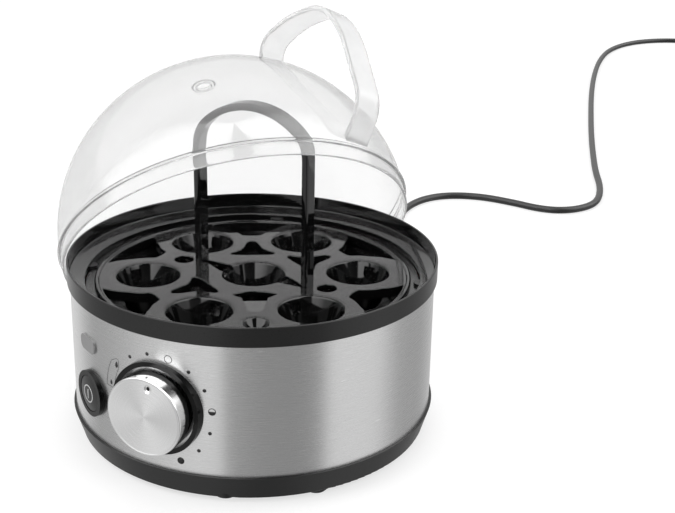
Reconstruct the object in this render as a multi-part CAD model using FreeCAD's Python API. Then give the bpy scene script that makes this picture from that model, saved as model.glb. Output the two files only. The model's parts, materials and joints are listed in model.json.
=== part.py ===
import FreeCAD, Part
import math
import os

# Household egg boiler with a round steel body, a seven-cup tray and a clear dome lid.
# Lengths are in millimetres and angles in degrees.
# The origin is the middle of the base on the table. +Z is up and -Y is the front, through the dial.

# Shared values
eps = 0.5                      # how far a cutting tool runs past the face it cuts
running_gap = 0.3              # gap between pieces of different bodies at rest
shaft_clearance = 0.05         # radial running clearance of the dial shaft
seat_gap = 0.1                 # gap between pieces of one body that plug together

# Housing
band_r = 96.5                  # outer radius of the steel band
band_wall = 0.5
band_bottom_z = 16.0
band_top_z = 86.2
ring_r = 98.0                  # outer radius of the black ring on top
ring_top_z = 96.4
ring_lip_wall = 1.2            # thickness of the ring's upright lip
ring_lip_draft = 0.1
ring_edge_r = 0.7
ring_wall_foot_z = 88.6        # foot of the lip's inner wall
ring_ledge_outer_r = 95.0
ring_ledge_outer_z = 88.0
ring_ledge_inner_r = 88.7
ring_ledge_inner_z = 86.0
ring_wall = 2.0
ring_skirt_z = 74.0            # lower edge of the skirt inside the band
shelf_z = 80.6                 # shelf that carries the bowl's flange
shelf_inner_r = 85.2
skirt_gap = 0.3                # between the skirts and the inside of the band
skirt_wall = 2.3

# Posts that tie the ring to the base
post_count = 4
post_first_angle = 20.0
post_gap = 0.3                 # between a post and the skirt
post_r = 3.8
post_bore_r = 1.4
post_bottom_z = 14.0
lug_length = 9.0
lug_width = 8.0
lug_height = 5.0

# Base
base_top_r = 97.9
base_taper = 3.7               # how much narrower its foot is than its top
base_bottom_z = 3.0
base_wall = 2.2
base_floor = 2.4
base_edge_r = 1.0
base_lip_height = 6.0
base_boss_r = 5.5
screw_head_r = 3.0
screw_head_depth = 2.6
screw_r = 1.6
screw_reach = 9.0
screw_slot = 0.8
foot_count = 4
foot_first_angle = -40.0
foot_inset = 2.2               # from the foot of the base's wall to a foot
foot_r = 6.0
foot_sole_r = 5.0
foot_edge_height = 1.0
foot_stem_r = 2.2
vent_slot_count = 7
vent_slot_length = 26.0
vent_slot_width = 2.4
vent_slot_pitch = 6.0

# Heating bowl
bowl_sheet = 1.2
bowl_mouth_r = 83.0            # inner radius just below the flange
bowl_neck_r = 82.4             # a little further down
bowl_neck_depth = 4.0
bowl_floor_r = 72.0
bowl_floor_z = 60.0            # upper face of the floor
bowl_shoulder_r = 78.5         # wall radius where the floor's round starts
bowl_shoulder_z = 65.5
bowl_flange_r = 88.3
seal_thick = 0.8
seal_inner_r = 85.6
bowl_stud_r = 2.5
bowl_stud_length = 13.5

# Heater, clamp bar and thermal parts
heater_r = 52.0
heater_tube_r = 3.3
heater_gap_angle = 36.0
heater_mid_angle = 60.0        # direction of the middle of the heater's gap
heater_tail = 7.0
heater_pin_r = 1.2
heater_pin_length = 7.0
bar_width = 16.0
bar_thick = 2.0
bar_top_z = 48.2
nut_r = 4.6
nut_sides = 6
nut_height = 3.6
thermostat_r = 9.0
thermostat_height = 7.0
thermostat_flange_r = 12.0
thermostat_flange = 1.0
thermostat_place_r = 30.0
thermostat_angle = 110.0
thermostat_blade = 7.0
blade_width = 4.0
blade_thick = 0.8
fuse_r = 2.3
fuse_length = 16.0
fuse_place_r = 34.0
fuse_angle = -20.0
fuse_strap_wall = 0.6
fuse_strap_width = 6.0
fuse_wing_reach = 8.7          # from the fuse's axis to the end of a wing

# Tray
plate_top_z = 84.0
plate_thick = 2.0
plate_r = 84.0
plate_edge_r = 0.9
tray_skirt_r = 82.0
tray_skirt_wall = 1.3
tray_skirt_drop = 3.0
cup_count = 6
cup_pitch_r = 56.0
cup_first_angle = 30.0
cup_r = 17.0                   # opening below its rounded lip
cup_lip_r = 1.0
cup_foot_r = 11.0
cup_depth = 16.5
cup_wall = 1.5
cup_hole_r = 8.5
notch_turns = (180.0, 60.0, -60.0)   # steam notches in an outer cup's wall, seen from the cup
notch_width = 6.4
notch_height = 6.6
notch_drop = 0.6               # under the plate
notch_inner_r = 11.5
window_outer_r = 80.5          # large openings between the outer cups
window_inner_r = 54.5
window_half_angle = 17.0
window_cup_clear_r = 25.0
window_corner_r = 2.5
bell_angles = (120.0, 60.0, -120.0)
bell_base_r = 27.5
bell_tip_r = 50.5
bell_half_width = 14.5
bell_cup_clear_r = 22.6
bell_corner_r = 2.0
dish_angle = -60.0             # here a slot, a dip and a dish take the place of bell and window
lens_end_r = 28.4
lens_inner_r = 24.4
lens_outer_r = 35.2
lens_half_length = 11.8
lens_corner_r = 0.8
dip_inner_r = 33.0
dip_outer_r = 51.0
dip_inner_half = 6.6
dip_outer_half = 3.4
dip_corner_r = 1.5
dip_depth = 1.1                # at its inner end
dish_place_r = 64.4
dish_r = 6.6
dish_lip_r = 0.8
dish_floor_r = 4.2
dish_depth = 5.0
dish_wall = 1.2
steam_hole_r = 5.2
steam_hole_place_r = 43.5
slot_inner_r = 14.8            # the handle's slots run into the middle cup
slot_cup_drop = 3.5            # depth of the slots in the wall of the middle cup
slot_gap = 0.1                 # beside the handle's legs

# Tray handle
grip_half_span = 32.0          # from the axis to the middle of a leg
grip_thick = 3.8
grip_width = 9.6
grip_edge_r = 1.3
grip_top_z = 177.6
grip_crown_height = 25.5
grip_shoulder_r = 18.0
grip_bottom_z = 79.6
grip_hook_length = 4.0
grip_hook_height = 2.0

# Lid
lid_wall = 1.2
lid_rim_r = 96.6               # outer radius of the band that sits inside the ring
lid_rim_height = 7.5
lid_bead_r = 98.0
lid_bead_height = 2.0
lid_dome_r = 97.0
lid_dome_height = 95.8
lid_lean_direction = 134.6
lid_lean = 46.9
lid_low_gap = 0.3              # between the low side of the rim and the band
lid_side_gap = 0.15            # between the rim and the ring, where the lid rests
vent_rim_r = 6.2
vent_hole_r = 4.4
vent_rim_height = 1.2
vent_depth = 2.4               # from the top of the dome to the lower end of the vent

# Lid handle
strap_width = 17.0
strap_thick = 3.0
strap_edge_r = 1.0
strap_direction = 212.0        # seen in the lid's own frame
strap_foot_r = 52.0
strap_foot_height = 84.5
strap_rise_r = 58.5
strap_rise_height = 98.0
strap_crown_r = 79.0
strap_crown_height = 99.6
strap_corner_r = 103.0
strap_corner_height = 92.5
strap_side_r = 111.0
strap_side_height = 71.0
strap_low_r = 111.0
strap_low_height = 27.0
strap_end_r = 96.0
strap_end_height = 13.0

# Dial on the front
dial_z = 48.9
dial_ring_r = 24.3
dial_ring_face = 98.4          # distance of its face from the axis of the body
dial_ring_lip = 2.4
dial_floor_face = 95.0
dial_floor = 2.0
dial_socket_r = 21.6
dial_socket_depth = 88.0
dial_hub_r = 4.6
knob_r = 20.5
knob_face = 108.4
knob_back = 95.6
knob_shell = 0.8
knob_edge_r = 0.9
knob_core_gap = 0.1
knob_dimple_r = 1.5
knob_dimple_depth = 0.5
knob_dimple_place_r = 16.0
knob_pointer_angle = 13.4      # from upright, towards the right
shaft_r = 3.0
shaft_end = 82.0
shaft_front = 104.0
control_width = 25.0
control_height = 22.0
control_back = 81.0
control_front = 92.6
control_neck_r = 4.4
board_thick = 1.6
board_width = 42.0
board_bottom_z = 16.0
board_top_z = 57.0
buzzer_r = 6.0
buzzer_height = 6.5
buzzer_x = 6.0
buzzer_z = 30.0
guide_width = 5.0
guide_depth = 6.0
guide_top_z = 30.0

# Push switch
switch_turn = -28.6
switch_z = 40.4
switch_bezel_r = 12.2
switch_bezel_face = 98.6
switch_mouth_r = 9.6
switch_barrel_r = 11.2
switch_back = 74.0
switch_wall = 1.6
button_face = 99.2
button_back = 86.0
button_dome = 0.8
switch_tab_length = 6.0

# Indicator lamp
lamp_turn = -29.8
lamp_z = 66.8
lamp_width = 15.0
lamp_height = 8.0
lamp_corner_r = 3.2
lamp_face = 97.2
lamp_back = 88.0
lamp_wall = 1.2
lamp_flange = 1.5
lamp_bulb_r = 2.0
lamp_bulb_length = 9.0

# Inside the base
block_x = 24.0
block_y = 52.0
block_length = 30.0
block_width = 14.0
block_height = 11.0
block_way_r = 1.8
block_screw_r = 1.5
block_way_count = 3
block_way_height = 3.7         # of the ways' axes over the underside of the block
block_groove_height = 7.3      # of the foot of the grooves between the ways
block_rib = 1.2
clamp_y = 76.0
clamp_length = 26.0
clamp_width = 8.0
clamp_thick = 3.0
clamp_post_r = 3.6
clamp_post_offset = 9.0
lead_r = 1.3
lead_board_x = -10.5           # where a lead meets the board

# Cord and plug
cord_r = 2.8
gland_r = 4.8
gland_tip_r = 3.8
gland_flange_r = 6.8
gland_flange = 1.6
gland_rib_count = 5
gland_rib_width = 2.0
gland_rib_depth = 0.7
gland_boss_wall = 2.2
gland_boss_y = 86.0
bend_share = 0.45              # of the shorter run beside a corner, taken up by its bend
cord_route = [
    (0.0, 131.0, 10.8), (0.0, 155.0, 10.8), (-2.0, 189.0, 5.4), (-11.0, 226.0, 2.8),
    (-28.0, 266.0, 2.8), (-46.0, 307.0, 2.8), (-58.0, 349.0, 2.8), (-55.0, 381.0, 2.8),
    (-40.0, 402.0, 2.8), (-14.0, 412.0, 2.8), (16.0, 410.0, 2.8), (35.0, 406.0, 2.8),
    (52.0, 408.0, 2.8), (66.0, 419.0, 2.8), (74.5, 437.0, 2.8), (74.0, 458.0, 2.8),
    (66.5, 489.0, 2.8), (52.0, 527.0, 2.8), (34.5, 583.0, 2.8), (17.0, 642.0, 2.8),
    (-3.0, 714.0, 2.8), (-24.5, 794.0, 2.8), (-45.0, 879.0, 2.8), (-61.5, 964.0, 2.8),
    (-67.5, 1034.0, 2.8), (-54.5, 1090.0, 2.8), (-24.5, 1126.0, 2.8), (14.0, 1141.0, 2.8),
    (54.0, 1143.0, 2.8), (84.5, 1144.5, 7.0), (112.5, 1144.5, 7.0),
]
plug_width = 34.0
plug_thick = 13.6
plug_length = 30.0
plug_edge_r = 3.0
plug_boot_r = 4.9
plug_form_overlap = 0.5        # of the body over the end of its boot
plug_boot_length = 22.0
# along the body, across it and through it
plug_form_shares = [(0.0, 0.6, 0.76), (0.35, 0.7, 0.86), (0.7, 0.94, 1.0), (1.0, 1.0, 1.0)]
pin_r = 2.0
pin_length = 19.0
pin_spread = 18.6

# Worked out from the sizes above
band_inner_r = band_r - band_wall
skirt_r = band_inner_r - skirt_gap
post_place_r = skirt_r - skirt_wall - post_gap - post_r
base_foot_r = base_top_r - base_taper
foot_place_r = base_foot_r - foot_inset - foot_r
plate_bottom_z = plate_top_z - plate_thick
flange_top_z = shelf_z + seal_thick + bowl_sheet
floor_under_z = bowl_floor_z - bowl_sheet
floor_top_z = base_bottom_z + base_floor
lid_mouth_r = lid_rim_r - lid_wall
gland_tip_y = cord_route[0][1]
gland_z = cord_route[0][2]


def vec(x, y, z):
    return FreeCAD.Vector(x, y, z)


X_AXIS = vec(1, 0, 0)
Y_AXIS = vec(0, 1, 0)
Z_AXIS = vec(0, 0, 1)
ORIGIN = vec(0, 0, 0)


def polar(radius, angle, z=0.0):
    """Point at a radius and an angle in degrees about the axis of the body."""
    turn = math.radians(angle)
    return vec(radius * math.cos(turn), radius * math.sin(turn), z)


def turned(shape, angle):
    """Copy of a shape, turned about the axis of the body."""
    copy = shape.copy()
    copy.rotate(ORIGIN, Z_AXIS, angle)
    return copy


def moved(shape, place):
    copy = shape.copy()
    copy.translate(place)
    return copy


def joined(shapes):
    """All shapes as one solid, with the seams between them taken out."""
    first = shapes[0]
    rest = shapes[1:]
    if not rest:
        return first
    return first.fuse(rest).removeSplitter()


def spun(points, sweep=360.0):
    """Solid of revolution of a closed outline of (radius, height) points about Z."""
    corners = [vec(r, 0, z) for r, z in points]
    face = Part.Face(Part.makePolygon(corners + [corners[0]]))
    return face.revolve(ORIGIN, Z_AXIS, sweep)


def spun_edges(edges):
    """Solid of revolution of a closed outline of edges in the XZ plane."""
    return Part.Face(Part.Wire(edges)).revolve(ORIGIN, Z_AXIS, 360.0)


def line(a, b):
    return Part.makeLine(vec(a[0], 0, a[1]), vec(b[0], 0, b[1]))


def run(points):
    """Straight edges from point to point."""
    return [line(a, b) for a, b in zip(points, points[1:])]


def arc(a, m, b):
    return Part.Arc(vec(a[0], 0, a[1]), vec(m[0], 0, m[1]), vec(b[0], 0, b[1])).toShape()


def round_edge(a, centre, b):
    """Arc about a centre from one point of an outline to another, the short way."""
    mid_x = (a[0] + b[0]) / 2 - centre[0]
    mid_z = (a[1] + b[1]) / 2 - centre[1]
    share = math.dist(a, centre) / math.hypot(mid_x, mid_z)
    return arc(a, (centre[0] + mid_x * share, centre[1] + mid_z * share), b)


def cylinder(radius, low, high, place=ORIGIN):
    return Part.makeCylinder(radius, high - low, vec(place.x, place.y, low))


def pipe(outer, inner, low, high, place=ORIGIN):
    return cylinder(outer, low, high, place).cut(cylinder(inner, low - eps, high + eps, place))


def block(x0, x1, y0, y1, z0, z1):
    return Part.makeBox(x1 - x0, y1 - y0, z1 - z0, vec(x0, y0, z0))


def rounded_plate(width, height, corner, low, high):
    """Rounded rectangle about Z, between two heights."""
    half_w = width / 2
    half_h = height / 2
    slab = block(-half_w, half_w, -half_h, half_h, low, high)
    upright = [e for e in slab.Edges if e.BoundBox.ZLength > e.Length / 2]
    return slab.makeFillet(corner, upright)


def on_wall(shape, turn, height):
    """Places a shape built along +Z, with +Y up, so that +Z points out of the wall.

    turn is the angle from the front, towards the right, as someone at the front sees it.
    """
    copy = shape.copy()
    copy.rotate(ORIGIN, X_AXIS, 90.0)
    copy.rotate(ORIGIN, Z_AXIS, turn)
    copy.translate(vec(0, 0, height))
    return copy


def rounded_path(points):
    """Straight runs joined by tangent arcs, each as large as its two runs allow.

    Gives the wire, the radii and the length.
    """
    edges = []
    radii = []
    start = points[0]
    for before, corner, after in zip(points, points[1:], points[2:]):
        into = corner.sub(before)
        out = after.sub(corner)
        half_turn = into.getAngle(out) / 2
        set_back = bend_share * min(into.Length, out.Length)
        radius = set_back / math.tan(half_turn)
        radii.append(radius)
        into_unit = into.normalize()
        out_unit = out.normalize()
        first = corner.sub(into_unit * set_back)
        last = corner.add(out_unit * set_back)
        inward = out_unit.sub(into_unit).normalize()
        bulge = radius / math.cos(half_turn) - radius
        edges.append(Part.LineSegment(start, first).toShape())
        edges.append(Part.Arc(first, corner.add(inward * bulge), last).toShape())
        start = last
    edges.append(Part.LineSegment(start, points[-1]).toShape())
    wire = Part.Wire(edges)
    return wire, radii, wire.Length


def section_frame(shape, place, along, across):
    """Moves a flat section in XY to a place, with Z along the path and X across it."""
    z = vec(along.x, along.y, along.z).normalize()
    x = vec(across.x, across.y, across.z).normalize()
    y = z.cross(x)
    rotation = FreeCAD.Rotation(x, y, z, "ZXY")
    copy = shape.copy()
    copy.Placement = FreeCAD.Placement(place, rotation)
    return copy


def swept(path, section):
    """Solid swept along a path whose start the section already stands on."""
    return path.makePipeShell([section], True, False)


def rounded_section(width, thick, corner):
    """Closed wire of a rounded rectangle in XY."""
    slab = rounded_plate(width, thick, corner, 0.0, thick)
    lowest = min(slab.Faces, key=lambda f: f.CenterOfMass.z)
    return lowest.OuterWire


# Housing


def top_ring():
    """Black ring: lip, sloping ledge, shelf for the bowl, skirt, posts and two lugs."""
    lip_inner_r = ring_r - ring_lip_wall
    wall_foot_r = lip_inner_r - ring_lip_draft
    side_top = (ring_r, ring_top_z - ring_edge_r)
    edge_centre = (ring_r - ring_edge_r, ring_top_z - ring_edge_r)
    top_side = (ring_r - ring_edge_r, ring_top_z)
    inside = run([
        top_side,
        (lip_inner_r, ring_top_z),
        (wall_foot_r, ring_wall_foot_z),
        (ring_ledge_outer_r, ring_ledge_outer_z),
        (ring_ledge_inner_r, ring_ledge_inner_z),
        (ring_ledge_inner_r, shelf_z),
        (shelf_inner_r, shelf_z),
        (shelf_inner_r, shelf_z - ring_wall),
        (ring_ledge_inner_r + ring_wall, shelf_z - ring_wall),
        (ring_ledge_inner_r + ring_wall, ring_ledge_inner_z - ring_wall),
        (skirt_r - skirt_wall, ring_ledge_outer_z - ring_wall),
        (skirt_r - skirt_wall, ring_skirt_z),
        (skirt_r, ring_skirt_z),
        (skirt_r, band_top_z),
        (ring_r, band_top_z),
        side_top,
    ])
    pieces = [spun_edges([round_edge(side_top, edge_centre, top_side)] + inside)]
    for i in range(post_count):
        angle = post_first_angle + 360.0 / post_count * i
        place = polar(post_place_r, angle)
        pieces.append(cylinder(post_r, post_bottom_z, ring_ledge_inner_z - ring_wall, place))
        if i % 2 == 0:
            lug = block(post_place_r - lug_length, post_place_r, -lug_width / 2, lug_width / 2,
                        bar_top_z, bar_top_z + lug_height)
            pieces.append(turned(lug, angle))
    ring = joined(pieces)
    bores = [cylinder(ring_ledge_inner_r, shelf_z, ring_ledge_inner_z)]
    for i in range(post_count):
        place = polar(post_place_r, post_first_angle + 360.0 / post_count * i)
        bores.append(cylinder(post_bore_r, post_bottom_z - eps, post_bottom_z + screw_reach, place))
    return ring.cut(bores)


def steel_band():
    """Thin steel sleeve with the holes for the dial, the switch, the lamp and the cord."""
    sleeve = pipe(band_r, band_inner_r, band_bottom_z, band_top_z)
    depth = band_r + eps
    near = band_r - dial_ring_r
    dial_hole = cylinder(dial_socket_r + seat_gap, near, depth)
    switch_hole = cylinder(switch_barrel_r + seat_gap, near, depth)
    lamp_hole = rounded_plate(lamp_width + 2 * seat_gap, lamp_height + 2 * seat_gap,
                              lamp_corner_r, near, depth)
    return sleeve.cut([
        on_wall(dial_hole, 0.0, dial_z),
        on_wall(switch_hole, switch_turn, switch_z),
        on_wall(lamp_hole, lamp_turn, lamp_z),
    ])


def base_pan():
    """Black base: tapered wall, floor, lip inside the band, bosses, guides and vent slots."""
    foot_side = (base_foot_r - base_edge_r, base_bottom_z)
    edge_centre = (base_foot_r - base_edge_r, base_bottom_z + base_edge_r)
    wall_side = (base_foot_r, base_bottom_z + base_edge_r)
    inside = run([
        wall_side,
        (base_top_r, band_bottom_z),
        (skirt_r, band_bottom_z),
        (skirt_r, band_bottom_z + base_lip_height),
        (skirt_r - base_wall, band_bottom_z + base_lip_height),
        (skirt_r - base_wall, band_bottom_z - base_wall),
        (base_foot_r - base_wall, floor_top_z + base_edge_r),
        (base_foot_r - base_wall - base_edge_r, floor_top_z),
        (0.0, floor_top_z),
        (0.0, base_bottom_z),
        foot_side,
    ])
    pieces = [spun_edges([round_edge(foot_side, edge_centre, wall_side)] + inside)]
    for i in range(post_count):
        place = polar(post_place_r, post_first_angle + 360.0 / post_count * i)
        pieces.append(cylinder(base_boss_r, base_bottom_z, post_bottom_z, place))
    for side in (-1, 1):
        x = side * (board_width / 2 - guide_width / 2)
        y = -(control_back - board_thick / 2)
        pieces.append(block(x - guide_width / 2, x + guide_width / 2,
                            y - guide_depth / 2, y + guide_depth / 2,
                            base_bottom_z, guide_top_z))
        place = vec(side * clamp_post_offset, clamp_y, 0.0)
        pieces.append(cylinder(clamp_post_r, base_bottom_z, gland_z, place))
    pieces.append(block(block_x - block_length / 2, block_x + block_length / 2,
                        block_y - block_width / 2, block_y + block_width / 2,
                        base_bottom_z, floor_top_z + block_rib))
    pieces.append(block(-clamp_width / 2, clamp_width / 2, clamp_y - clamp_width / 2,
                        clamp_y + clamp_width / 2, base_bottom_z, gland_z - cord_r))
    boss_half = gland_r + gland_boss_wall
    pieces.append(block(-boss_half, boss_half, gland_boss_y, skirt_r - base_wall,
                        base_bottom_z, gland_z + boss_half))
    pan = joined(pieces)
    cuts = []
    for i in range(post_count):
        place = polar(post_place_r, post_first_angle + 360.0 / post_count * i)
        cuts.append(cylinder(screw_r + seat_gap, base_bottom_z - eps, post_bottom_z + eps, place))
        cuts.append(cylinder(screw_head_r + seat_gap, base_bottom_z - eps,
                             base_bottom_z + screw_head_depth, place))
    for i in range(foot_count):
        place = polar(foot_place_r, foot_first_angle + 360.0 / foot_count * i)
        cuts.append(cylinder(foot_stem_r, base_bottom_z - eps, floor_top_z + eps, place))
    for i in range(vent_slot_count):
        y = (i - (vent_slot_count - 1) / 2) * vent_slot_pitch
        cuts.append(block(-vent_slot_length / 2, vent_slot_length / 2, y - vent_slot_width / 2,
                          y + vent_slot_width / 2, base_bottom_z - eps, floor_top_z + eps))
    slot_y = -control_back
    cuts.append(block(-board_width / 2 - seat_gap, board_width / 2 + seat_gap,
                      slot_y, slot_y + board_thick, board_bottom_z, guide_top_z + eps))
    cuts.append(Part.makeCylinder(gland_r, base_top_r, vec(0, gland_boss_y - eps, gland_z), Y_AXIS))
    cuts.append(Part.makeCylinder(cord_r, clamp_length, vec(0, clamp_y - clamp_length / 2, gland_z),
                                  Y_AXIS))
    return pan.cut(cuts)


def base_screws():
    """Four pan-head screws, from under the base up into the posts."""
    head_z = base_bottom_z + seat_gap
    screws = []
    for i in range(post_count):
        place = polar(post_place_r, post_first_angle + 360.0 / post_count * i)
        head = cylinder(screw_head_r, head_z, base_bottom_z + screw_head_depth, place)
        shank = cylinder(post_bore_r, head_z, post_bottom_z + screw_reach - eps, place)
        slots = []
        for length, width in ((screw_head_r, screw_slot), (screw_slot, screw_head_r)):
            slots.append(block(place.x - length / 2, place.x + length / 2,
                               place.y - width / 2, place.y + width / 2,
                               head_z - eps, head_z + screw_slot))
        screws.append(joined([head, shank]).cut(slots))
    return Part.makeCompound(screws)


def feet():
    """Four soft feet, each with a stem through the floor of the base."""
    feet_list = []
    for i in range(foot_count):
        outline = [
            (0.0, 0.0), (foot_sole_r, 0.0), (foot_r, foot_edge_height), (foot_r, base_bottom_z),
            (foot_stem_r, base_bottom_z), (foot_stem_r, floor_top_z), (0.0, floor_top_z),
        ]
        place = polar(foot_place_r, foot_first_angle + 360.0 / foot_count * i)
        feet_list.append(moved(spun(outline), place))
    return Part.makeCompound(feet_list)


# Heating bowl and what hangs under it


def heating_bowl():
    """Pressed bowl with a flat flange, a rounded floor and a stud for the clamp bar."""
    t = bowl_sheet
    outline = [
        (0.0, bowl_floor_z),
        (bowl_floor_r, bowl_floor_z),
        ((bowl_floor_r + bowl_shoulder_r) / 2 + t, (bowl_floor_z + bowl_shoulder_z) / 2 - t),
        (bowl_shoulder_r, bowl_shoulder_z),
        (bowl_neck_r, flange_top_z - bowl_neck_depth),
        (bowl_mouth_r, flange_top_z),
        (bowl_flange_r, flange_top_z),
        (bowl_flange_r, flange_top_z - t),
        (bowl_mouth_r + t, flange_top_z - t),
        (bowl_neck_r + t, flange_top_z - bowl_neck_depth),
        (bowl_shoulder_r + t, bowl_shoulder_z - t),
        ((bowl_floor_r + bowl_shoulder_r) / 2 + 2 * t, (bowl_floor_z + bowl_shoulder_z) / 2 - 2 * t),
        (bowl_floor_r + t / 2, floor_under_z),
        (0.0, floor_under_z),
    ]
    stud = cylinder(bowl_stud_r, floor_under_z - bowl_stud_length, bowl_floor_z - t / 2)
    return joined([spun(outline), stud])


def bowl_seal():
    return pipe(bowl_flange_r, seal_inner_r, shelf_z, shelf_z + seal_thick)


def heater_element():
    """Tube heater on the underside of the floor, an open ring with two tails and pins."""
    z = floor_under_z - heater_tube_r
    sweep = 360.0 - heater_gap_angle
    start_angle = heater_mid_angle + heater_gap_angle / 2
    torus = Part.makeTorus(heater_r, heater_tube_r, vec(0, 0, z), Z_AXIS, 0.0, 360.0, sweep)
    pieces = [turned(torus, start_angle)]
    for angle in (start_angle, start_angle + sweep):
        end = polar(heater_r, angle, z)
        pieces.append(Part.makeSphere(heater_tube_r, end))
        pieces.append(Part.makeCylinder(heater_tube_r, heater_tail, end, Z_AXIS.negative()))
        tip = end.sub(vec(0, 0, heater_tail))
        pieces.append(Part.makeCylinder(heater_pin_r, heater_pin_length, tip, Z_AXIS.negative()))
    return joined(pieces)


def clamp_bar():
    """Flat steel bar from post to post, which the stud pulls the bowl down against."""
    reach = post_place_r - post_r - seat_gap
    bar = block(-reach, reach, -bar_width / 2, bar_width / 2, bar_top_z - bar_thick, bar_top_z)
    hole = cylinder(bowl_stud_r + seat_gap, bar_top_z - bar_thick - eps, bar_top_z + eps)
    cuts = [hole]
    for side in (-1, 1):
        place = vec(side * (post_place_r - lug_length / 2 - post_r), 0, 0)
        cuts.append(cylinder(screw_r, bar_top_z - bar_thick - eps, bar_top_z + eps, place))
    return turned(bar.cut(cuts), post_first_angle)


def bar_fasteners():
    """Nut on the stud and the two screws that hold the bar to the lugs."""
    low = bar_top_z - bar_thick
    corners = [polar(nut_r, 360.0 / nut_sides * i, low - nut_height) for i in range(nut_sides)]
    hexagon = Part.Face(Part.makePolygon(corners + [corners[0]]))
    nut = hexagon.extrude(vec(0, 0, nut_height))
    nut = nut.cut(cylinder(bowl_stud_r, low - nut_height - eps, low + eps))
    pieces = [nut]
    for side in (-1, 1):
        place = vec(side * (post_place_r - lug_length / 2 - post_r), 0, 0)
        head = cylinder(screw_head_r, low - screw_head_depth, low, place)
        shank = cylinder(screw_r, low - screw_head_depth, bar_top_z, place)
        pieces.append(turned(joined([head, shank]), post_first_angle))
    return Part.makeCompound(pieces)


def thermostat():
    """Disc thermostat with a flange against the bowl and two blade terminals."""
    top = floor_under_z
    low = top - thermostat_flange
    body_low = low - thermostat_height
    pieces = [
        cylinder(thermostat_flange_r, low, top),
        cylinder(thermostat_r, body_low, low),
    ]
    for side in (-1, 1):
        x = side * thermostat_r / 2
        pieces.append(block(x - blade_thick / 2, x + blade_thick / 2, -blade_width / 2,
                            blade_width / 2, body_low - thermostat_blade, body_low))
    return moved(joined(pieces), polar(thermostat_place_r, thermostat_angle))


def thermal_fuse():
    """Small fuse barrel that lies against the underside of the bowl."""
    z = floor_under_z - fuse_r
    barrel = Part.makeCylinder(fuse_r, fuse_length, vec(-fuse_length / 2, 0, z), X_AXIS)
    return turned(moved(barrel, vec(fuse_place_r, 0, 0)), fuse_angle)


def fuse_strap():
    """Spring strap round the fuse, flat against the bowl on both sides."""
    z = floor_under_z - fuse_r
    outer_r = fuse_r + fuse_strap_wall
    half = fuse_strap_width / 2
    loop = Part.makeCylinder(outer_r, fuse_strap_width, vec(-half, 0, z), X_AXIS)
    loop = loop.common(block(-half, half, -outer_r, outer_r, z - outer_r, z))
    sides = block(-half, half, -outer_r, outer_r, z, floor_under_z)
    wings = block(-half, half, -fuse_wing_reach, fuse_wing_reach,
                  floor_under_z - fuse_strap_wall, floor_under_z)
    hollow = Part.makeCylinder(fuse_r, fuse_length, vec(-fuse_length / 2, 0, z), X_AXIS)
    gap = block(-fuse_length, fuse_length, -fuse_r, fuse_r, z, floor_under_z + eps)
    strap = joined([loop, sides, wings]).cut([hollow, gap])
    return turned(moved(strap, vec(fuse_place_r, 0, 0)), fuse_angle)


# Tray


def cup_cutter(place):
    return cylinder(cup_r + cup_lip_r, plate_bottom_z - eps, plate_top_z + eps, place)


def cup(place):
    """Tapered egg cup: rounded lip, conical wall and a holed foot."""
    low = plate_top_z - cup_depth
    outer_r = cup_r + cup_lip_r
    lip_top = (outer_r, plate_top_z)
    lip_centre = (outer_r, plate_top_z - cup_lip_r)
    lip_foot = (cup_r, plate_top_z - cup_lip_r)
    inside = run([
        lip_foot,
        (cup_foot_r, low),
        (cup_hole_r, low),
        (cup_hole_r, low - cup_wall),
        (cup_foot_r + cup_wall, low - cup_wall),
        (cup_r + cup_wall, plate_bottom_z - cup_wall),
        (outer_r, plate_bottom_z),
        lip_top,
    ])
    return moved(spun_edges([round_edge(lip_top, lip_centre, lip_foot)] + inside), place)


def cup_places():
    places = [ORIGIN]
    for i in range(cup_count):
        places.append(polar(cup_pitch_r, cup_first_angle + 360.0 / cup_count * i))
    return places


def softened(face, corner):
    """Face with its outward corners rounded."""
    return face.makeOffset2D(-corner).makeOffset2D(corner)


def prism(face):
    """Cutting tool through the plate from a face drawn at its lower side."""
    return face.extrude(vec(0, 0, plate_thick + 2 * eps))


def window_cutter(angle):
    """Opening between two outer cups: a fan whose flanks follow the cups."""
    z = plate_bottom_z - eps
    half = math.radians(window_half_angle)
    far = window_outer_r
    near = window_inner_r
    outer_left = polar(far, -window_half_angle, z)
    outer_right = polar(far, window_half_angle, z)
    inner_right = vec(near * math.cos(half), near * math.sin(half), z)
    inner_left = vec(near * math.cos(half), -near * math.sin(half), z)
    outline = Part.Wire([
        Part.Arc(outer_left, vec(far, 0, z), outer_right).toShape(),
        Part.makeLine(outer_right, inner_right),
        Part.Arc(inner_right, vec(near, 0, z), inner_left).toShape(),
        Part.makeLine(inner_left, outer_left),
    ])
    face = Part.Face(outline)
    half_pitch = 180.0 / cup_count
    discs = []
    for side in (-1, 1):
        place = polar(cup_pitch_r, side * half_pitch, z)
        circle = Part.Circle(place, Z_AXIS, window_cup_clear_r)
        discs.append(Part.Face(Part.Wire(circle.toShape())))
    fan = max(face.cut(discs).Faces, key=lambda f: f.Area)
    return turned(prism(softened(fan, window_corner_r)), angle)


def bell_cutter(angle):
    """Bell-shaped opening: wide towards the middle cup and pointed outwards."""
    z = plate_bottom_z - eps
    corners = [
        vec(bell_base_r, -bell_half_width, z),
        vec(bell_tip_r, 0, z),
        vec(bell_base_r, bell_half_width, z),
    ]
    face = Part.Face(Part.makePolygon(corners + [corners[0]]))
    discs = []
    for side in (-1, 1):
        place = polar(cup_pitch_r, side * 180.0 / cup_count, z)
        circle = Part.Circle(place, Z_AXIS, bell_cup_clear_r)
        discs.append(Part.Face(Part.Wire(circle.toShape())))
    bell = max(face.cut(discs).Faces, key=lambda f: f.Area)
    return turned(prism(softened(bell, bell_corner_r)), angle)


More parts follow.
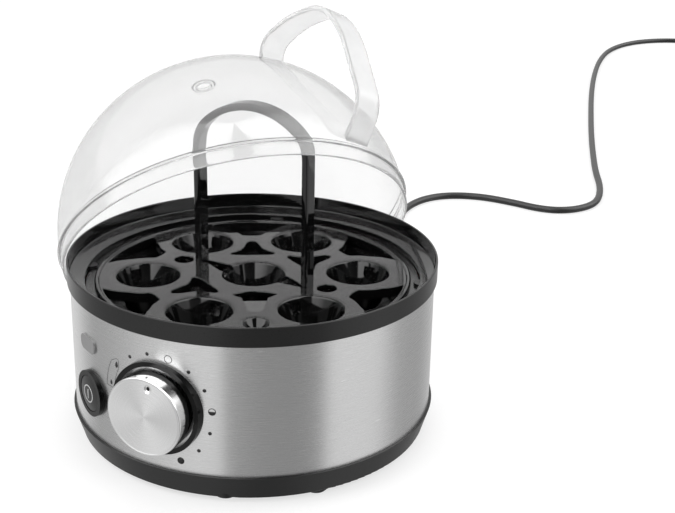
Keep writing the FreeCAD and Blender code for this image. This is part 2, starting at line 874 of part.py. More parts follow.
def lens_cutter():
    """Slot with two curved sides, near the middle cup."""
    z = plate_bottom_z - eps
    first = vec(lens_end_r, -lens_half_length, z)
    last = vec(lens_end_r, lens_half_length, z)
    outline = Part.Wire([
        Part.Arc(first, vec(lens_outer_r, 0, z), last).toShape(),
        Part.Arc(last, vec(lens_inner_r, 0, z), first).toShape(),
    ])
    return turned(prism(softened(Part.Face(outline), lens_corner_r)), dish_angle)


def dip_cutter():
    """Shallow dip that deepens towards the slot: a flat-bottomed tool tilted about its tip."""
    z = plate_top_z
    corners = [
        vec(dip_inner_r, -dip_inner_half, z),
        vec(dip_outer_r, -dip_outer_half, z),
        vec(dip_outer_r, dip_outer_half, z),
        vec(dip_inner_r, dip_inner_half, z),
    ]
    face = Part.Face(Part.makePolygon(corners + [corners[0]]))
    tool = prism(softened(face, dip_corner_r))
    fall = math.degrees(math.atan2(dip_depth, dip_outer_r - dip_inner_r))
    tool.rotate(vec(dip_outer_r, 0, z), Y_AXIS, -fall)
    return turned(tool, dish_angle)


def dish_profile(wall):
    """Half section of the dish, thicker all round by a wall."""
    low = plate_top_z - dish_depth - wall
    return [(0.0, low), (dish_floor_r + wall, low), (dish_r + wall, plate_bottom_z)]


def dish_shell():
    top_z = plate_top_z - plate_thick / 2
    outline = dish_profile(dish_wall) + [(dish_r + dish_wall, top_z), (0.0, top_z)]
    return moved(spun_edges(run(outline + outline[:1])), polar(dish_place_r, dish_angle))


def dish_cutter():
    """Inside of the dish, with its rounded lip."""
    lip_foot = (dish_r, plate_top_z - dish_lip_r)
    lip_top = (dish_r + dish_lip_r, plate_top_z)
    lip_centre = (dish_r + dish_lip_r, plate_top_z - dish_lip_r)
    over = plate_top_z + eps
    edges = run(dish_profile(0.0) + [lip_foot])
    edges.append(round_edge(lip_foot, lip_centre, lip_top))
    edges += run([lip_top, (dish_r + dish_lip_r, over), (0.0, over), dish_profile(0.0)[0]])
    return moved(spun_edges(edges), polar(dish_place_r, dish_angle))


def notch_cutter(centre, turn):
    """Tool for a notch with a round lower end, seen from the middle of its cup."""
    half = notch_width / 2
    high = plate_bottom_z - notch_drop
    round_z = high - notch_height + half
    reach = cup_r + cup_wall
    upper = block(notch_inner_r, reach + eps, -half, half, round_z, high)
    lower = Part.makeCylinder(half, reach + eps - notch_inner_r,
                              vec(notch_inner_r, 0, round_z), X_AXIS)
    return moved(turned(joined([upper, lower]), turn), centre)


def slot_cutter(side, low):
    """Way from the middle cup to one leg of the handle."""
    half_slot = grip_width / 2 + slot_gap
    outer = grip_half_span + grip_thick / 2 + slot_gap
    ends = sorted((side * slot_inner_r, side * outer))
    return block(ends[0], ends[1], -half_slot, half_slot, low, plate_top_z + eps)


def egg_tray():
    """Plate of the tray: rounded edge, rim, round cup places, windows, bells and slots."""
    rim_low_z = flange_top_z + running_gap
    top_side = (plate_r - plate_edge_r, plate_top_z)
    edge_centre = (plate_r - plate_edge_r, plate_top_z - plate_edge_r)
    rim_side = (plate_r, plate_top_z - plate_edge_r)
    inside = run([
        rim_side,
        (plate_r, rim_low_z),
        (tray_skirt_r, rim_low_z),
        (tray_skirt_r - running_gap, rim_low_z - tray_skirt_drop),
        (tray_skirt_r - tray_skirt_wall, rim_low_z - tray_skirt_drop),
        (tray_skirt_r - tray_skirt_wall, plate_bottom_z),
        (0.0, plate_bottom_z),
        (0.0, plate_top_z),
        top_side,
    ])
    plate = spun_edges([round_edge(top_side, edge_centre, rim_side)] + inside)
    plate = joined([plate, dish_shell()])
    cuts = [cup_cutter(place) for place in cup_places()]
    for i in range(cup_count - 1):
        cuts.append(window_cutter(dish_angle + 360.0 / cup_count * (i + 1)))
    for angle in bell_angles:
        cuts.append(bell_cutter(angle))
    cuts += [lens_cutter(), dip_cutter(), dish_cutter()]
    low = plate_bottom_z - eps
    high = plate_top_z + eps
    for side in (-1, 1):
        place = vec(side * steam_hole_place_r, 0, 0)
        cuts.append(cylinder(steam_hole_r, low, high, place))
        cuts.append(slot_cutter(side, low))
    return plate.cut(cuts)


def egg_cups():
    """Seven cups, each filling its round place in the plate: the outer ones are notched."""
    places = cup_places()
    slots = [slot_cutter(side, plate_top_z - slot_cup_drop) for side in (-1, 1)]
    cups = [cup(places[0]).cut(slots)]
    for i in range(cup_count):
        angle = cup_first_angle + 360.0 / cup_count * i
        notches = [notch_cutter(places[i + 1], angle + turn) for turn in notch_turns]
        cups.append(cup(places[i + 1]).cut(notches))
    return Part.makeCompound(cups)


def tray_handle():
    """Arch over the tray: two legs, round shoulders and a flatter crown, hooked below."""
    half = grip_half_span
    crown = grip_crown_height - grip_thick / 2
    r1 = grip_shoulder_r
    crown_r = (crown ** 2 + (half - r1) ** 2 - r1 ** 2) / (2 * (crown - r1))
    spring_z = grip_top_z - grip_crown_height
    crown_z = spring_z + crown
    centre_z = crown_z - crown_r
    reach = math.hypot(half - r1, spring_z - centre_z)
    join_x = (half - r1) * crown_r / reach
    join_z = centre_z + (spring_z - centre_z) * crown_r / reach
    mid_turn = math.atan2(join_z - spring_z, join_x - (half - r1)) / 2
    mid_x = half - r1 + r1 * math.cos(mid_turn)
    mid_z = spring_z + r1 * math.sin(mid_turn)
    path = Part.Wire([
        line((-half, grip_bottom_z), (-half, spring_z)),
        arc((-half, spring_z), (-mid_x, mid_z), (-join_x, join_z)),
        arc((-join_x, join_z), (0.0, crown_z), (join_x, join_z)),
        arc((join_x, join_z), (mid_x, mid_z), (half, spring_z)),
        line((half, spring_z), (half, grip_bottom_z)),
    ])
    section = rounded_section(grip_thick, grip_width, grip_edge_r)
    start = section_frame(section, vec(-half, 0, grip_bottom_z), Z_AXIS, X_AXIS)
    pieces = [swept(path, start)]
    hook_top = plate_bottom_z - seat_gap
    for side in (-1, 1):
        ends = sorted((side * half, side * (half + grip_thick / 2 + grip_hook_length)))
        pieces.append(block(ends[0], ends[1], -grip_width / 2 + grip_edge_r,
                            grip_width / 2 - grip_edge_r, hook_top - grip_hook_height, hook_top))
    return joined(pieces)


# Lid, drawn upright about Z with its rim at zero and then leant back


def lid_placement():
    """Lean and place at which the rim rests on the ring at both sides and behind the body.

    The rim's low point stands clear of the band, and its height follows from the two points
    where the circle of the rim meets the outer edge of the ring.
    """
    lean = math.radians(lid_lean)
    out = band_r + lid_low_gap - lid_mouth_r * math.cos(lean)
    a = -math.sin(lean) ** 2
    b = 2 * out * math.cos(lean)
    c = out ** 2 + lid_mouth_r ** 2 - (ring_r + lid_side_gap) ** 2
    along = (-b + math.sqrt(b * b - 4 * a * c)) / (2 * a)
    height = ring_top_z + along * math.sin(lean)
    tilt = FreeCAD.Rotation(Y_AXIS, lid_lean)
    heading = FreeCAD.Rotation(Z_AXIS, lid_lean_direction)
    return FreeCAD.Placement(polar(out, lid_lean_direction, height), heading.multiply(tilt))


def quarter_ellipse(radius, height, base_z):
    """Quarter of an ellipse in XZ, from the equator to the pole."""
    curve = Part.BezierCurve()
    curve.setPoles([vec(radius, 0, base_z), vec(radius, 0, base_z + height),
                    vec(0, 0, base_z + height)])
    curve.setWeight(2, math.sqrt(0.5))
    return curve.toShape()


def lid_dome():
    """Clear dome: rim band, bead, near half-round shell, steam vent and handle catch."""
    base_z = lid_rim_height + lid_bead_height
    inner_r = lid_dome_r - lid_wall
    inner_h = lid_dome_height - lid_wall
    top_z = base_z + lid_dome_height
    outer = quarter_ellipse(lid_dome_r, lid_dome_height, base_z)
    inner = quarter_ellipse(inner_r, inner_h, base_z)
    edges = [
        line((lid_mouth_r, 0.0), (lid_rim_r, 0.0)),
        line((lid_rim_r, 0.0), (lid_rim_r, lid_rim_height)),
        line((lid_rim_r, lid_rim_height), (lid_bead_r, lid_rim_height)),
        line((lid_bead_r, lid_rim_height), (lid_bead_r, lid_rim_height + lid_bead_height / 2)),
        line((lid_bead_r, lid_rim_height + lid_bead_height / 2), (lid_dome_r, base_z)),
        outer,
        line((0.0, top_z), (0.0, top_z - lid_wall)),
        inner,
        line((inner_r, base_z), (lid_mouth_r, lid_rim_height)),
        line((lid_mouth_r, lid_rim_height), (lid_mouth_r, 0.0)),
    ]
    shell = spun_edges(edges)
    low = top_z - vent_depth
    high = top_z + vent_rim_height
    vent = cylinder(vent_rim_r, low, high)
    return joined([shell, vent]).cut(cylinder(vent_hole_r, low - eps, high + eps))


def strap_points():
    return [
        (strap_foot_r, strap_foot_height), (strap_rise_r, strap_rise_height),
        (strap_crown_r, strap_crown_height), (strap_corner_r, strap_corner_height),
        (strap_side_r, strap_side_height), (strap_low_r, strap_low_height),
        (strap_end_r, strap_end_height),
    ]


def lid_handle():
    """Broad clear strap from the crown of the lid down to its side, cut to meet the dome."""
    points = [vec(r, 0, h) for r, h in strap_points()]
    path = rounded_path(points)[0]
    section = rounded_section(strap_thick, strap_width, strap_edge_r)
    along = points[1].sub(points[0])
    across = along.cross(Y_AXIS)
    start = section_frame(section, points[0], along, across)
    strap = swept(path, start)
    base_z = lid_rim_height + lid_bead_height
    core_edges = [
        line((lid_dome_r, 0.0), (lid_dome_r, base_z)),
        quarter_ellipse(lid_dome_r, lid_dome_height, base_z),
        line((0.0, base_z + lid_dome_height), (0.0, 0.0)),
        line((0.0, 0.0), (lid_dome_r, 0.0)),
    ]
    core = spun_edges(core_edges)
    strap = strap.cut(core)
    return turned(max(strap.Solids, key=lambda s: s.Volume), strap_direction)


# Dial, switch and indicator on the wall


def wall_core():
    """Everything inside the outer face of the band, to cut saddles with."""
    return cylinder(band_r, band_bottom_z, band_top_z)


def dial_ring():
    """Black dial ring: saddle flange, recess for the knob and a socket through the band."""
    flange = pipe(dial_ring_r, dial_socket_r, dial_socket_depth, dial_ring_face)
    flange = on_wall(flange, 0.0, dial_z).cut(wall_core())
    recess_r = dial_ring_r - dial_ring_lip
    outline = [
        (dial_hub_r, dial_floor_face - dial_floor),
        (dial_socket_r - dial_ring_lip, dial_floor_face - dial_floor),
        (dial_socket_r - dial_ring_lip, dial_socket_depth),
        (dial_socket_r, dial_socket_depth),
        (dial_socket_r, dial_ring_face),
        (recess_r - seat_gap, dial_ring_face),
        (recess_r - running_gap, dial_floor_face),
        (dial_hub_r, dial_floor_face),
    ]
    socket = on_wall(spun(outline), 0.0, dial_z)
    return joined([flange, socket])


def knob_cap():
    """Spun metal cap: flat face with a turned edge, thin skirt and a pointer dimple."""
    outer = knob_r
    inner = knob_r - knob_shell
    face_side = (outer - knob_edge_r, knob_face)
    edge_centre = (outer - knob_edge_r, knob_face - knob_edge_r)
    skirt_side = (outer, knob_face - knob_edge_r)
    inside = run([
        skirt_side, (outer, knob_back), (inner, knob_back), (inner, knob_face - knob_shell),
        (0.0, knob_face - knob_shell), (0.0, knob_face), face_side,
    ])
    cap = spun_edges([round_edge(face_side, edge_centre, skirt_side)] + inside)
    turn = math.radians(knob_pointer_angle)
    place = vec(knob_dimple_place_r * math.sin(turn), knob_dimple_place_r * math.cos(turn), 0)
    dimple = cylinder(knob_dimple_r, knob_face - knob_dimple_depth, knob_face + eps, place)
    return on_wall(cap.cut(dimple), 0.0, dial_z)


def knob_core():
    """Plastic core of the knob with its hub and shaft in one."""
    rim = knob_r - knob_shell - knob_core_gap
    face = knob_face - knob_shell - knob_core_gap
    outline = [
        (0.0, face), (rim, face), (rim, knob_back + knob_shell),
        (rim - ring_wall, knob_back + knob_shell), (rim - ring_wall, face - ring_wall),
        (2 * shaft_r, face - ring_wall), (2 * shaft_r, knob_back), (0.0, knob_back),
    ]
    shaft = cylinder(shaft_r, shaft_end, shaft_front)
    return on_wall(joined([spun(outline), shaft]), 0.0, dial_z)


def control_unit():
    """Rotary control behind the dial, with a bored neck for the shaft."""
    body = block(-control_width / 2, control_width / 2, -control_height / 2, control_height / 2,
                 control_back, control_front)
    neck = cylinder(control_neck_r, control_front - eps, dial_floor_face - running_gap)
    bore = cylinder(shaft_r + shaft_clearance, shaft_end - running_gap, dial_floor_face + eps)
    return on_wall(joined([body, neck]).cut(bore), 0.0, dial_z)


def control_board():
    """Circuit board on edge in the guides of the base, behind the rotary control."""
    y = -control_back
    return block(-board_width / 2, board_width / 2, y, y + board_thick,
                 board_bottom_z, board_top_z)


def buzzer():
    start = vec(buzzer_x, -control_back + board_thick, buzzer_z)
    return Part.makeCylinder(buzzer_r, buzzer_height, start, Y_AXIS)


def switch_housing():
    """Bezel and barrel of the push switch, closed at the back with two tabs."""
    flange = pipe(switch_bezel_r, switch_mouth_r, switch_back, switch_bezel_face)
    flange = on_wall(flange, switch_turn, switch_z).cut(wall_core())
    outline = [
        (0.0, switch_back), (switch_barrel_r, switch_back), (switch_barrel_r, switch_bezel_face),
        (switch_mouth_r, switch_bezel_face), (switch_mouth_r, switch_back + switch_wall),
        (0.0, switch_back + switch_wall),
    ]
    pieces = [flange, on_wall(spun(outline), switch_turn, switch_z)]
    for side in (-1, 1):
        x = side * switch_mouth_r / 2
        tab = block(x - blade_width / 2, x + blade_width / 2, -blade_thick / 2, blade_thick / 2,
                    switch_back - switch_tab_length, switch_back)
        pieces.append(on_wall(tab, switch_turn, switch_z))
    return joined(pieces)


def switch_button():
    """Round button with a slightly domed face."""
    radius = switch_mouth_r - running_gap
    edge_z = button_face - button_dome
    ball_r = (radius ** 2 + button_dome ** 2) / (2 * button_dome)
    half_turn = math.asin(radius / ball_r) / 2
    middle = (ball_r * math.sin(half_turn), button_face - ball_r * (1 - math.cos(half_turn)))
    edges = [
        line((0.0, button_back), (radius, button_back)),
        line((radius, button_back), (radius, edge_z)),
        arc((radius, edge_z), middle, (0.0, button_face)),
        line((0.0, button_face), (0.0, button_back)),
    ]
    return on_wall(spun_edges(edges), switch_turn, switch_z)


def indicator_lens():
    """Window of the indicator: a lens through the band on a flange behind it."""
    lens = rounded_plate(lamp_width, lamp_height, lamp_corner_r, lamp_back, lamp_face)
    hollow = rounded_plate(lamp_width - 2 * lamp_wall, lamp_height - 2 * lamp_wall,
                           lamp_corner_r - lamp_wall, lamp_back - eps, band_inner_r - lamp_wall)
    flange = rounded_plate(lamp_width + 2 * lamp_flange, lamp_height + 2 * lamp_flange,
                           lamp_corner_r, lamp_back, band_r)
    inner = cylinder(band_inner_r, band_bottom_z, band_top_z)
    far = on_wall(flange, lamp_turn, lamp_z).common(inner)
    body = joined([on_wall(lens, lamp_turn, lamp_z), far])
    return body.cut(on_wall(hollow, lamp_turn, lamp_z))


def indicator_lamp():
    """Glow lamp lying in the lens."""
    z = lamp_back + lamp_height / 2
    y = -lamp_height / 2 + lamp_wall + lamp_bulb_r
    bulb = Part.makeCylinder(lamp_bulb_r, lamp_bulb_length, vec(-lamp_bulb_length / 2, y, z), X_AXIS)
    return on_wall(bulb, lamp_turn, lamp_z)


# Inside the base


def terminal_block():
    """Three-way terminal block on a rib of the floor."""
    low = floor_top_z + block_rib
    x0 = block_x - block_length / 2
    y0 = block_y - block_width / 2
    body = block(x0, x0 + block_length, y0, y0 + block_width, low, low + block_height)
    pitch = block_length / block_way_count
    cuts = []
    for i in range(block_way_count):
        x = x0 + pitch * (i + 0.5)
        cuts.append(Part.makeCylinder(block_way_r, block_width + 2 * eps,
                                      vec(x, y0 - eps, low + block_way_height), Y_AXIS))
        cuts.append(cylinder(block_screw_r, low + block_way_height, low + block_height + eps,
                             vec(x, block_y, 0)))
    for i in range(1, block_way_count):
        x = x0 + pitch * i
        cuts.append(block(x - block_rib / 2, x + block_rib / 2, y0 - eps, y0 + block_width + eps,
                          low + block_groove_height, low + block_height + eps))
    return body.cut(cuts)


def cord_clamp():
    """Bar across the cord, with its two screws, on the posts of the base."""
    bar = block(-clamp_length / 2, clamp_length / 2, clamp_y - clamp_width / 2,
                clamp_y + clamp_width / 2, gland_z, gland_z + clamp_thick)
    hollow = Part.makeCylinder(cord_r, clamp_width + 2 * eps,
                               vec(0, clamp_y - clamp_width / 2 - eps, gland_z), Y_AXIS)
    pieces = [bar.cut(hollow)]
    for side in (-1, 1):
        place = vec(side * clamp_post_offset, clamp_y, 0)
        pieces.append(cylinder(screw_head_r, gland_z + clamp_thick,
                               gland_z + clamp_thick + screw_head_depth, place))
    return Part.makeCompound([joined([pieces[0], pieces[1], pieces[2]])])


def cord_stub():
    """End of the cord inside the base, from the clamp to the strain relief."""
    start = clamp_y - clamp_width
    end = gland_boss_y - gland_flange
    return Part.makeCylinder(cord_r, end - start, vec(0, start, gland_z), Y_AXIS)


def strain_relief():
    """Ribbed tapered sleeve through the rear wall, with a flange against the boss inside."""
    outline = [
        (0.0, gland_boss_y - gland_flange), (gland_flange_r, gland_boss_y - gland_flange),
        (gland_flange_r, gland_boss_y), (gland_r, gland_boss_y),
    ]
    start = base_top_r + gland_rib_width
    pitch = (gland_tip_y - start) / gland_rib_count
    taper = (gland_r - gland_tip_r) / (gland_tip_y - start)
    outline.append((gland_r, start))
    for i in range(gland_rib_count - 1):
        y = start + pitch * (i + 1)
        r = gland_r - taper * (y - start)
        outline.append((r, y - gland_rib_width / 2))
        outline.append((r - gland_rib_depth, y - gland_rib_width / 2))
        outline.append((r - gland_rib_depth, y + gland_rib_width / 2))
        outline.append((r, y + gland_rib_width / 2))
    outline.append((gland_tip_r, gland_tip_y))
    outline.append((0.0, gland_tip_y))
    sleeve = spun(outline)
    sleeve.rotate(ORIGIN, X_AXIS, -90.0)
    sleeve.translate(vec(0, 0, gland_z))
    under = block(-gland_flange_r, gland_flange_r, clamp_y, gland_boss_y + eps,
                  base_bottom_z, floor_top_z)
    return sleeve.cut(under)


def inner_leads():
    """Three leads from the terminal block up to the fuse, the thermostat and the heater."""
    low = floor_top_z + block_rib + block_way_height
    pitch = block_length / block_way_count
    x0 = block_x - block_length / 2
    y0 = block_y - block_width / 2
    heater_angle = heater_mid_angle - heater_gap_angle / 2
    pin_z = floor_under_z - heater_tube_r - heater_tail - heater_pin_length
    heater_pin = polar(heater_r, heater_angle, pin_z)
    blade_z = floor_under_z - thermostat_flange - thermostat_height - thermostat_blade
    blade_place = polar(thermostat_place_r, thermostat_angle, blade_z)
    board_foot = vec(lead_board_x, -control_back + board_thick + lead_r, board_bottom_z + lead_r)
    ends = [board_foot, blade_place.sub(vec(thermostat_r / 2, 0, 0)), heater_pin]
    leads = []
    for i, end in enumerate(ends):
        start = vec(x0 + pitch * (i + 0.5), y0, low)
        out = start.sub(vec(0, block_width / 2, 0))
        below = vec(end.x, end.y, low + lead_r)
        if i == 0:
            below = end.add(vec(0, block_width / 2, 0))
        wire = rounded_path([start, out, below, end])[0]
        ring = Part.Wire(Part.Circle(start, Y_AXIS, lead_r).toShape())
        leads.append(swept(wire, ring))
    return Part.makeCompound(leads)


# Cord and plug


def power_cord():
    points = [vec(x, y, z) for x, y, z in cord_route]
    path, radii, length = rounded_path(points)
    along = points[1].sub(points[0])
    ring = Part.Wire(Part.Circle(points[0], along, cord_r).toShape())
    tube = swept(path, ring)
    print("cord length %.1f, least radius %.1f" % (length, min(radii)))
    print("cord radii " + " ".join("%.0f" % r for r in radii))
    print("cord volume share %.4f" % (tube.Volume / (math.pi * cord_r ** 2 * length)))
    return tube


def plug_frame(shape):
    """Places a plug piece drawn with the cord along +X at the end of the cord."""
    last = vec(*cord_route[-1])
    run = last.sub(vec(*cord_route[-2]))
    heading = math.degrees(math.atan2(run.y, run.x))
    copy = turned(shape, heading)
    copy.translate(last)
    return copy


def plug_body():
    """Flat two-pin plug: body that widens to its face, and a tapered boot."""
    start = plug_boot_length - plug_form_overlap
    sections = []
    for along_share, wide_share, thick_share in plug_form_shares:
        section = rounded_section(plug_thick * thick_share, plug_width * wide_share, plug_edge_r)
        x = start + (plug_length + plug_form_overlap) * along_share
        sections.append(section_frame(section, vec(x, 0, 0), X_AXIS, Z_AXIS))
    body = Part.makeLoft(sections, True, False)
    boot = Part.makeCone(gland_tip_r, plug_boot_r, plug_boot_length, ORIGIN, X_AXIS)
    return plug_frame(joined([body, boot]))


def plug_pins():
    """Two insulated round pins."""
    end = plug_boot_length + plug_length
    pins = []
    for side in (-1, 1):
        start = vec(end, side * pin_spread / 2, 0)
        shank = Part.makeCylinder(pin_r, pin_length - pin_r, start, X_AXIS)
        tip = Part.makeSphere(pin_r, start.add(vec(pin_length - pin_r, 0, 0)))
        pins.append(plug_frame(joined([shank, tip])))
    return Part.makeCompound(pins)


def write(name, shape):
    shape.exportStep("parts/" + name + ".step")
    box = shape.BoundBox
    print("%-16s solids %d valid %s volume %.0f  z %.1f to %.1f" % (
        name, len(shape.Solids), shape.isValid(), shape.Volume, box.ZMin, box.ZMax))


def main():
    os.makedirs("parts", exist_ok=True)
    write("base_pan", base_pan())
    write("feet", feet())
    write("base_screws", base_screws())
    write("steel_band", steel_band())
    write("top_ring", top_ring())
    write("heating_bowl", heating_bowl())
    write("bowl_seal", bowl_seal())
    write("heater_element", heater_element())
    write("clamp_bar", clamp_bar())
    write("bar_fasteners", bar_fasteners())
    write("thermostat", thermostat())
    write("thermal_fuse", thermal_fuse())
    write("fuse_strap", fuse_strap())
    write("egg_tray", egg_tray())
    write("egg_cups", egg_cups())
    write("tray_handle", tray_handle())
    lean = lid_placement()
    for name, shape in (("lid_dome", lid_dome()), ("lid_handle", lid_handle())):
        shape.Placement = lean.multiply(shape.Placement)
        write(name, shape)
    write("dial_ring", dial_ring())
    write("knob_cap", knob_cap())
    write("knob_core", knob_core())
    write("control_unit", control_unit())
    write("control_board", control_board())
    write("buzzer", buzzer())
    write("switch_housing", switch_housing())
    write("switch_button", switch_button())
    write("indicator_lens", indicator_lens())
    write("indicator_lamp", indicator_lamp())
    write("terminal_block", terminal_block())
    write("cord_clamp", cord_clamp())
    write("cord_stub", cord_stub())
    write("strain_relief", strain_relief())
    write("inner_leads", inner_leads())
    write("power_cord", power_cord())
    write("plug_body", plug_body())
    write("plug_pins", plug_pins())


main()
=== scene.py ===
import json
import math

import bmesh
import bpy
import numpy as np
from mathutils import Matrix, Quaternion, Vector

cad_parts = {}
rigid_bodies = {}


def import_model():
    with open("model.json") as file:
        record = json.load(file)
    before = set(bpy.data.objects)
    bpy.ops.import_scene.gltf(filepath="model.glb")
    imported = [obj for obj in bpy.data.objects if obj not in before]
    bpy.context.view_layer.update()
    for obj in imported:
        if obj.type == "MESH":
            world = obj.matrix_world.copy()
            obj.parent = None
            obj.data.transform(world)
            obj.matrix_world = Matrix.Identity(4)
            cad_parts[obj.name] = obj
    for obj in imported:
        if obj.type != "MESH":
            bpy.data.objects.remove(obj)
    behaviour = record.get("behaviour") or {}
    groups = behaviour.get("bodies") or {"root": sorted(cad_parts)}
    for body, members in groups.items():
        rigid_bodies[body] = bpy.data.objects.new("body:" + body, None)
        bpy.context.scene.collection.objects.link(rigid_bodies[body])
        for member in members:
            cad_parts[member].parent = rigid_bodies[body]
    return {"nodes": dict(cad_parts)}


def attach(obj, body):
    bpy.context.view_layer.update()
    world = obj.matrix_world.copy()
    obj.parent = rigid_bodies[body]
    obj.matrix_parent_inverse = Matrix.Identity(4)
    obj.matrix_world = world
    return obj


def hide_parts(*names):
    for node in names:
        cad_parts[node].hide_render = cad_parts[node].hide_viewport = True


# Looks of a household egg boiler: brushed round body, black ring and tray, clear dome lid.
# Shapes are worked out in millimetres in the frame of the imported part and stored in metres.

for leftover in list(bpy.data.objects):
    bpy.data.objects.remove(leftover)

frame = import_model()
nodes = frame["nodes"]
bpy.context.view_layer.update()

MM = 0.001

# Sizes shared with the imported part
BAND_R = 96.5
BAND_BOTTOM = 16.0
BAND_TOP = 86.2
BAND_WALL = 0.5
RING_R = 98.0
RING_TOP = 96.4
POST_PLACE_R = 89.3
POST_R = 3.8
PLATE_BOTTOM = 82.0
PLATE_TOP = 84.0
PLATE_EDGE = 0.5
CUP_PLACE_R = 56.0
CUP_HOLE_R = 18.4
NOTCH_HALF = 3.2
NOTCH_TOP = 81.4
SLOT_HALF = 4.9
STEAM_HOLE_R = 5.2
STEAM_PLACE_R = 43.5
DISH_ANGLE = -60.0
DISH_PLACE_R = 64.4
DIAL_Z = 48.9
MARK_PLACE_R = 28.5
MARK_DEPTH = 0.15
KNOB_R = 20.5
KNOB_FACE = 108.3
KNOB_BACK = 95.6
SWITCH_TURN = -28.6
SWITCH_Z = 40.4
BUTTON_FACE = 99.2
BUTTON_R = 9.3
BUTTON_DOME = 0.8
SYMBOL_R = 4.45
LID_LEAN_DIRECTION = 134.6
LID_LEAN = 46.9
LID_RIM_R = 96.6
LID_WALL = 1.2
LID_BEAD_TOP = 9.5
LID_DOME_R = 97.0
LID_DOME_HEIGHT = 95.8
VENT_OUTER_R = 6.2
VENT_INNER_R = 4.4
CORD_R = 2.8
CORD_ROUTE = [
    (0.0, 131.0, 10.8), (0.0, 155.0, 10.8), (-2.0, 189.0, 5.4), (-11.0, 226.0, 2.8),
    (-28.0, 266.0, 2.8), (-46.0, 307.0, 2.8), (-58.0, 349.0, 2.8), (-55.0, 381.0, 2.8),
    (-40.0, 402.0, 2.8), (-14.0, 412.0, 2.8), (16.0, 410.0, 2.8), (35.0, 406.0, 2.8),
    (52.0, 408.0, 2.8), (66.0, 419.0, 2.8), (74.5, 437.0, 2.8), (74.0, 458.0, 2.8),
    (66.5, 489.0, 2.8), (52.0, 527.0, 2.8), (34.5, 583.0, 2.8), (17.0, 642.0, 2.8),
    (-3.0, 714.0, 2.8), (-24.5, 794.0, 2.8), (-45.0, 879.0, 2.8), (-61.5, 964.0, 2.8),
    (-67.5, 1034.0, 2.8), (-54.5, 1090.0, 2.8), (-24.5, 1126.0, 2.8), (14.0, 1141.0, 2.8),
    (54.0, 1143.0, 2.8), (84.5, 1144.5, 7.0), (112.5, 1144.5, 7.0),
]

# Camera
CAMERA_PLACE = (0.31421, -0.56456, 0.34619)
CAMERA_FORWARD = (-0.395728, 0.843349, -0.363541)
CAMERA_ROLL = 0.02041
CAMERA_LENS = 69.333


# Shape tools: every shape is a grid of points or a profile carried along a path


def shown(name, data):
    """New object in the scene that carries the data."""
    made = bpy.data.objects.new(name, data)
    bpy.context.scene.collection.objects.link(made)
    return made


def cleaned(mesh, merge, shrink):
    """Mesh with near points merged, empty faces dissolved and its faces turned outwards."""
    shape = bmesh.new()
    shape.from_mesh(mesh)
    bmesh.ops.remove_doubles(shape, verts=shape.verts, dist=merge)
    bmesh.ops.dissolve_degenerate(shape, edges=shape.edges, dist=shrink)
    bmesh.ops.recalc_face_normals(shape, faces=shape.faces)
    shape.to_mesh(mesh)
    shape.free()


def taken(holder):
    """Points and faces that an object has after its modifiers. The object is removed."""
    bpy.context.view_layer.update()
    graph = bpy.context.evaluated_depsgraph_get()
    mesh = bpy.data.meshes.new_from_object(holder.evaluated_get(graph))
    bpy.data.objects.remove(holder)
    points = np.empty(len(mesh.vertices) * 3)
    mesh.vertices.foreach_get("co", points)
    faces = [list(face.vertices) for face in mesh.polygons]
    bpy.data.meshes.remove(mesh)
    return points.reshape(-1, 3), faces


def patch(points, wrap_rows=False, wrap_columns=False, finish=0):
    """Grid of points as vertices and quads. A wrapped way joins its last line to its first."""
    rows, columns = points.shape[:2]
    index = np.arange(rows * columns).reshape(rows, columns)
    if wrap_rows:
        index = np.vstack([index, index[:1]])
    if wrap_columns:
        index = np.hstack([index, index[:, :1]])
    quads = np.stack([index[:-1, :-1], index[1:, :-1], index[1:, 1:], index[:-1, 1:]], axis=-1)
    return points.reshape(-1, 3), quads.reshape(-1, 4), finish


def placed(made, place):
    """A patch with its points sent through a placing function."""
    return place(made[0]), made[1], made[2]


def rounded(corners, radii, closed=True, steps=6):
    """Outline whose corners are tangent arcs: centre = corner + bisector * radius / sin(half),

    and the arc blends the two radius vectors as sin((1 - s)w)u + sin(sw)v over sin(w).
    """
    corners = np.asarray(corners, float)
    radii = np.broadcast_to(np.asarray(radii, float), len(corners))
    before = np.roll(corners, 1, axis=0) - corners
    after = np.roll(corners, -1, axis=0) - corners
    long_before = np.linalg.norm(before, axis=1)
    long_after = np.linalg.norm(after, axis=1)
    before = before / long_before[:, None]
    after = after / long_after[:, None]
    half = np.arccos(np.clip((before * after).sum(axis=1), -1.0, 1.0)) / 2
    half = np.minimum(half, math.pi / 2 - 1e-4)
    set_back = np.minimum(radii / np.tan(half), 0.49 * np.minimum(long_before, long_after))
    radius = set_back * np.tan(half)
    bisector = before + after
    bisector = bisector / np.linalg.norm(bisector, axis=1)[:, None]
    centre = corners + bisector * (radius / np.sin(half))[:, None]
    first = corners + before * set_back[:, None] - centre
    last = corners + after * set_back[:, None] - centre
    turn = (math.pi - 2 * half)[:, None, None]
    share = np.linspace(0.0, 1.0, steps)[None, :, None]
    arcs = centre[:, None] + (np.sin((1 - share) * turn) * first[:, None]
                              + np.sin(share * turn) * last[:, None]) / np.sin(turn)
    if closed:
        return arcs.reshape(-1, corners.shape[1])
    inner = arcs[1:-1].reshape(-1, corners.shape[1])
    return np.concatenate([corners[:1], inner, corners[-1:]])


def lathe(outline, turns=192, closed=True, finish=0):
    """Outline of (radius, height) points carried once round Z."""
    outline = np.asarray(outline, float)
    angle = np.linspace(0.0, 2 * math.pi, turns, endpoint=False)[:, None]
    radius = outline[None, :, 0]
    height = np.broadcast_to(outline[None, :, 1], (turns, len(outline)))
    points = np.stack([radius * np.cos(angle), radius * np.sin(angle), height], axis=-1)
    return patch(points, True, closed, finish)


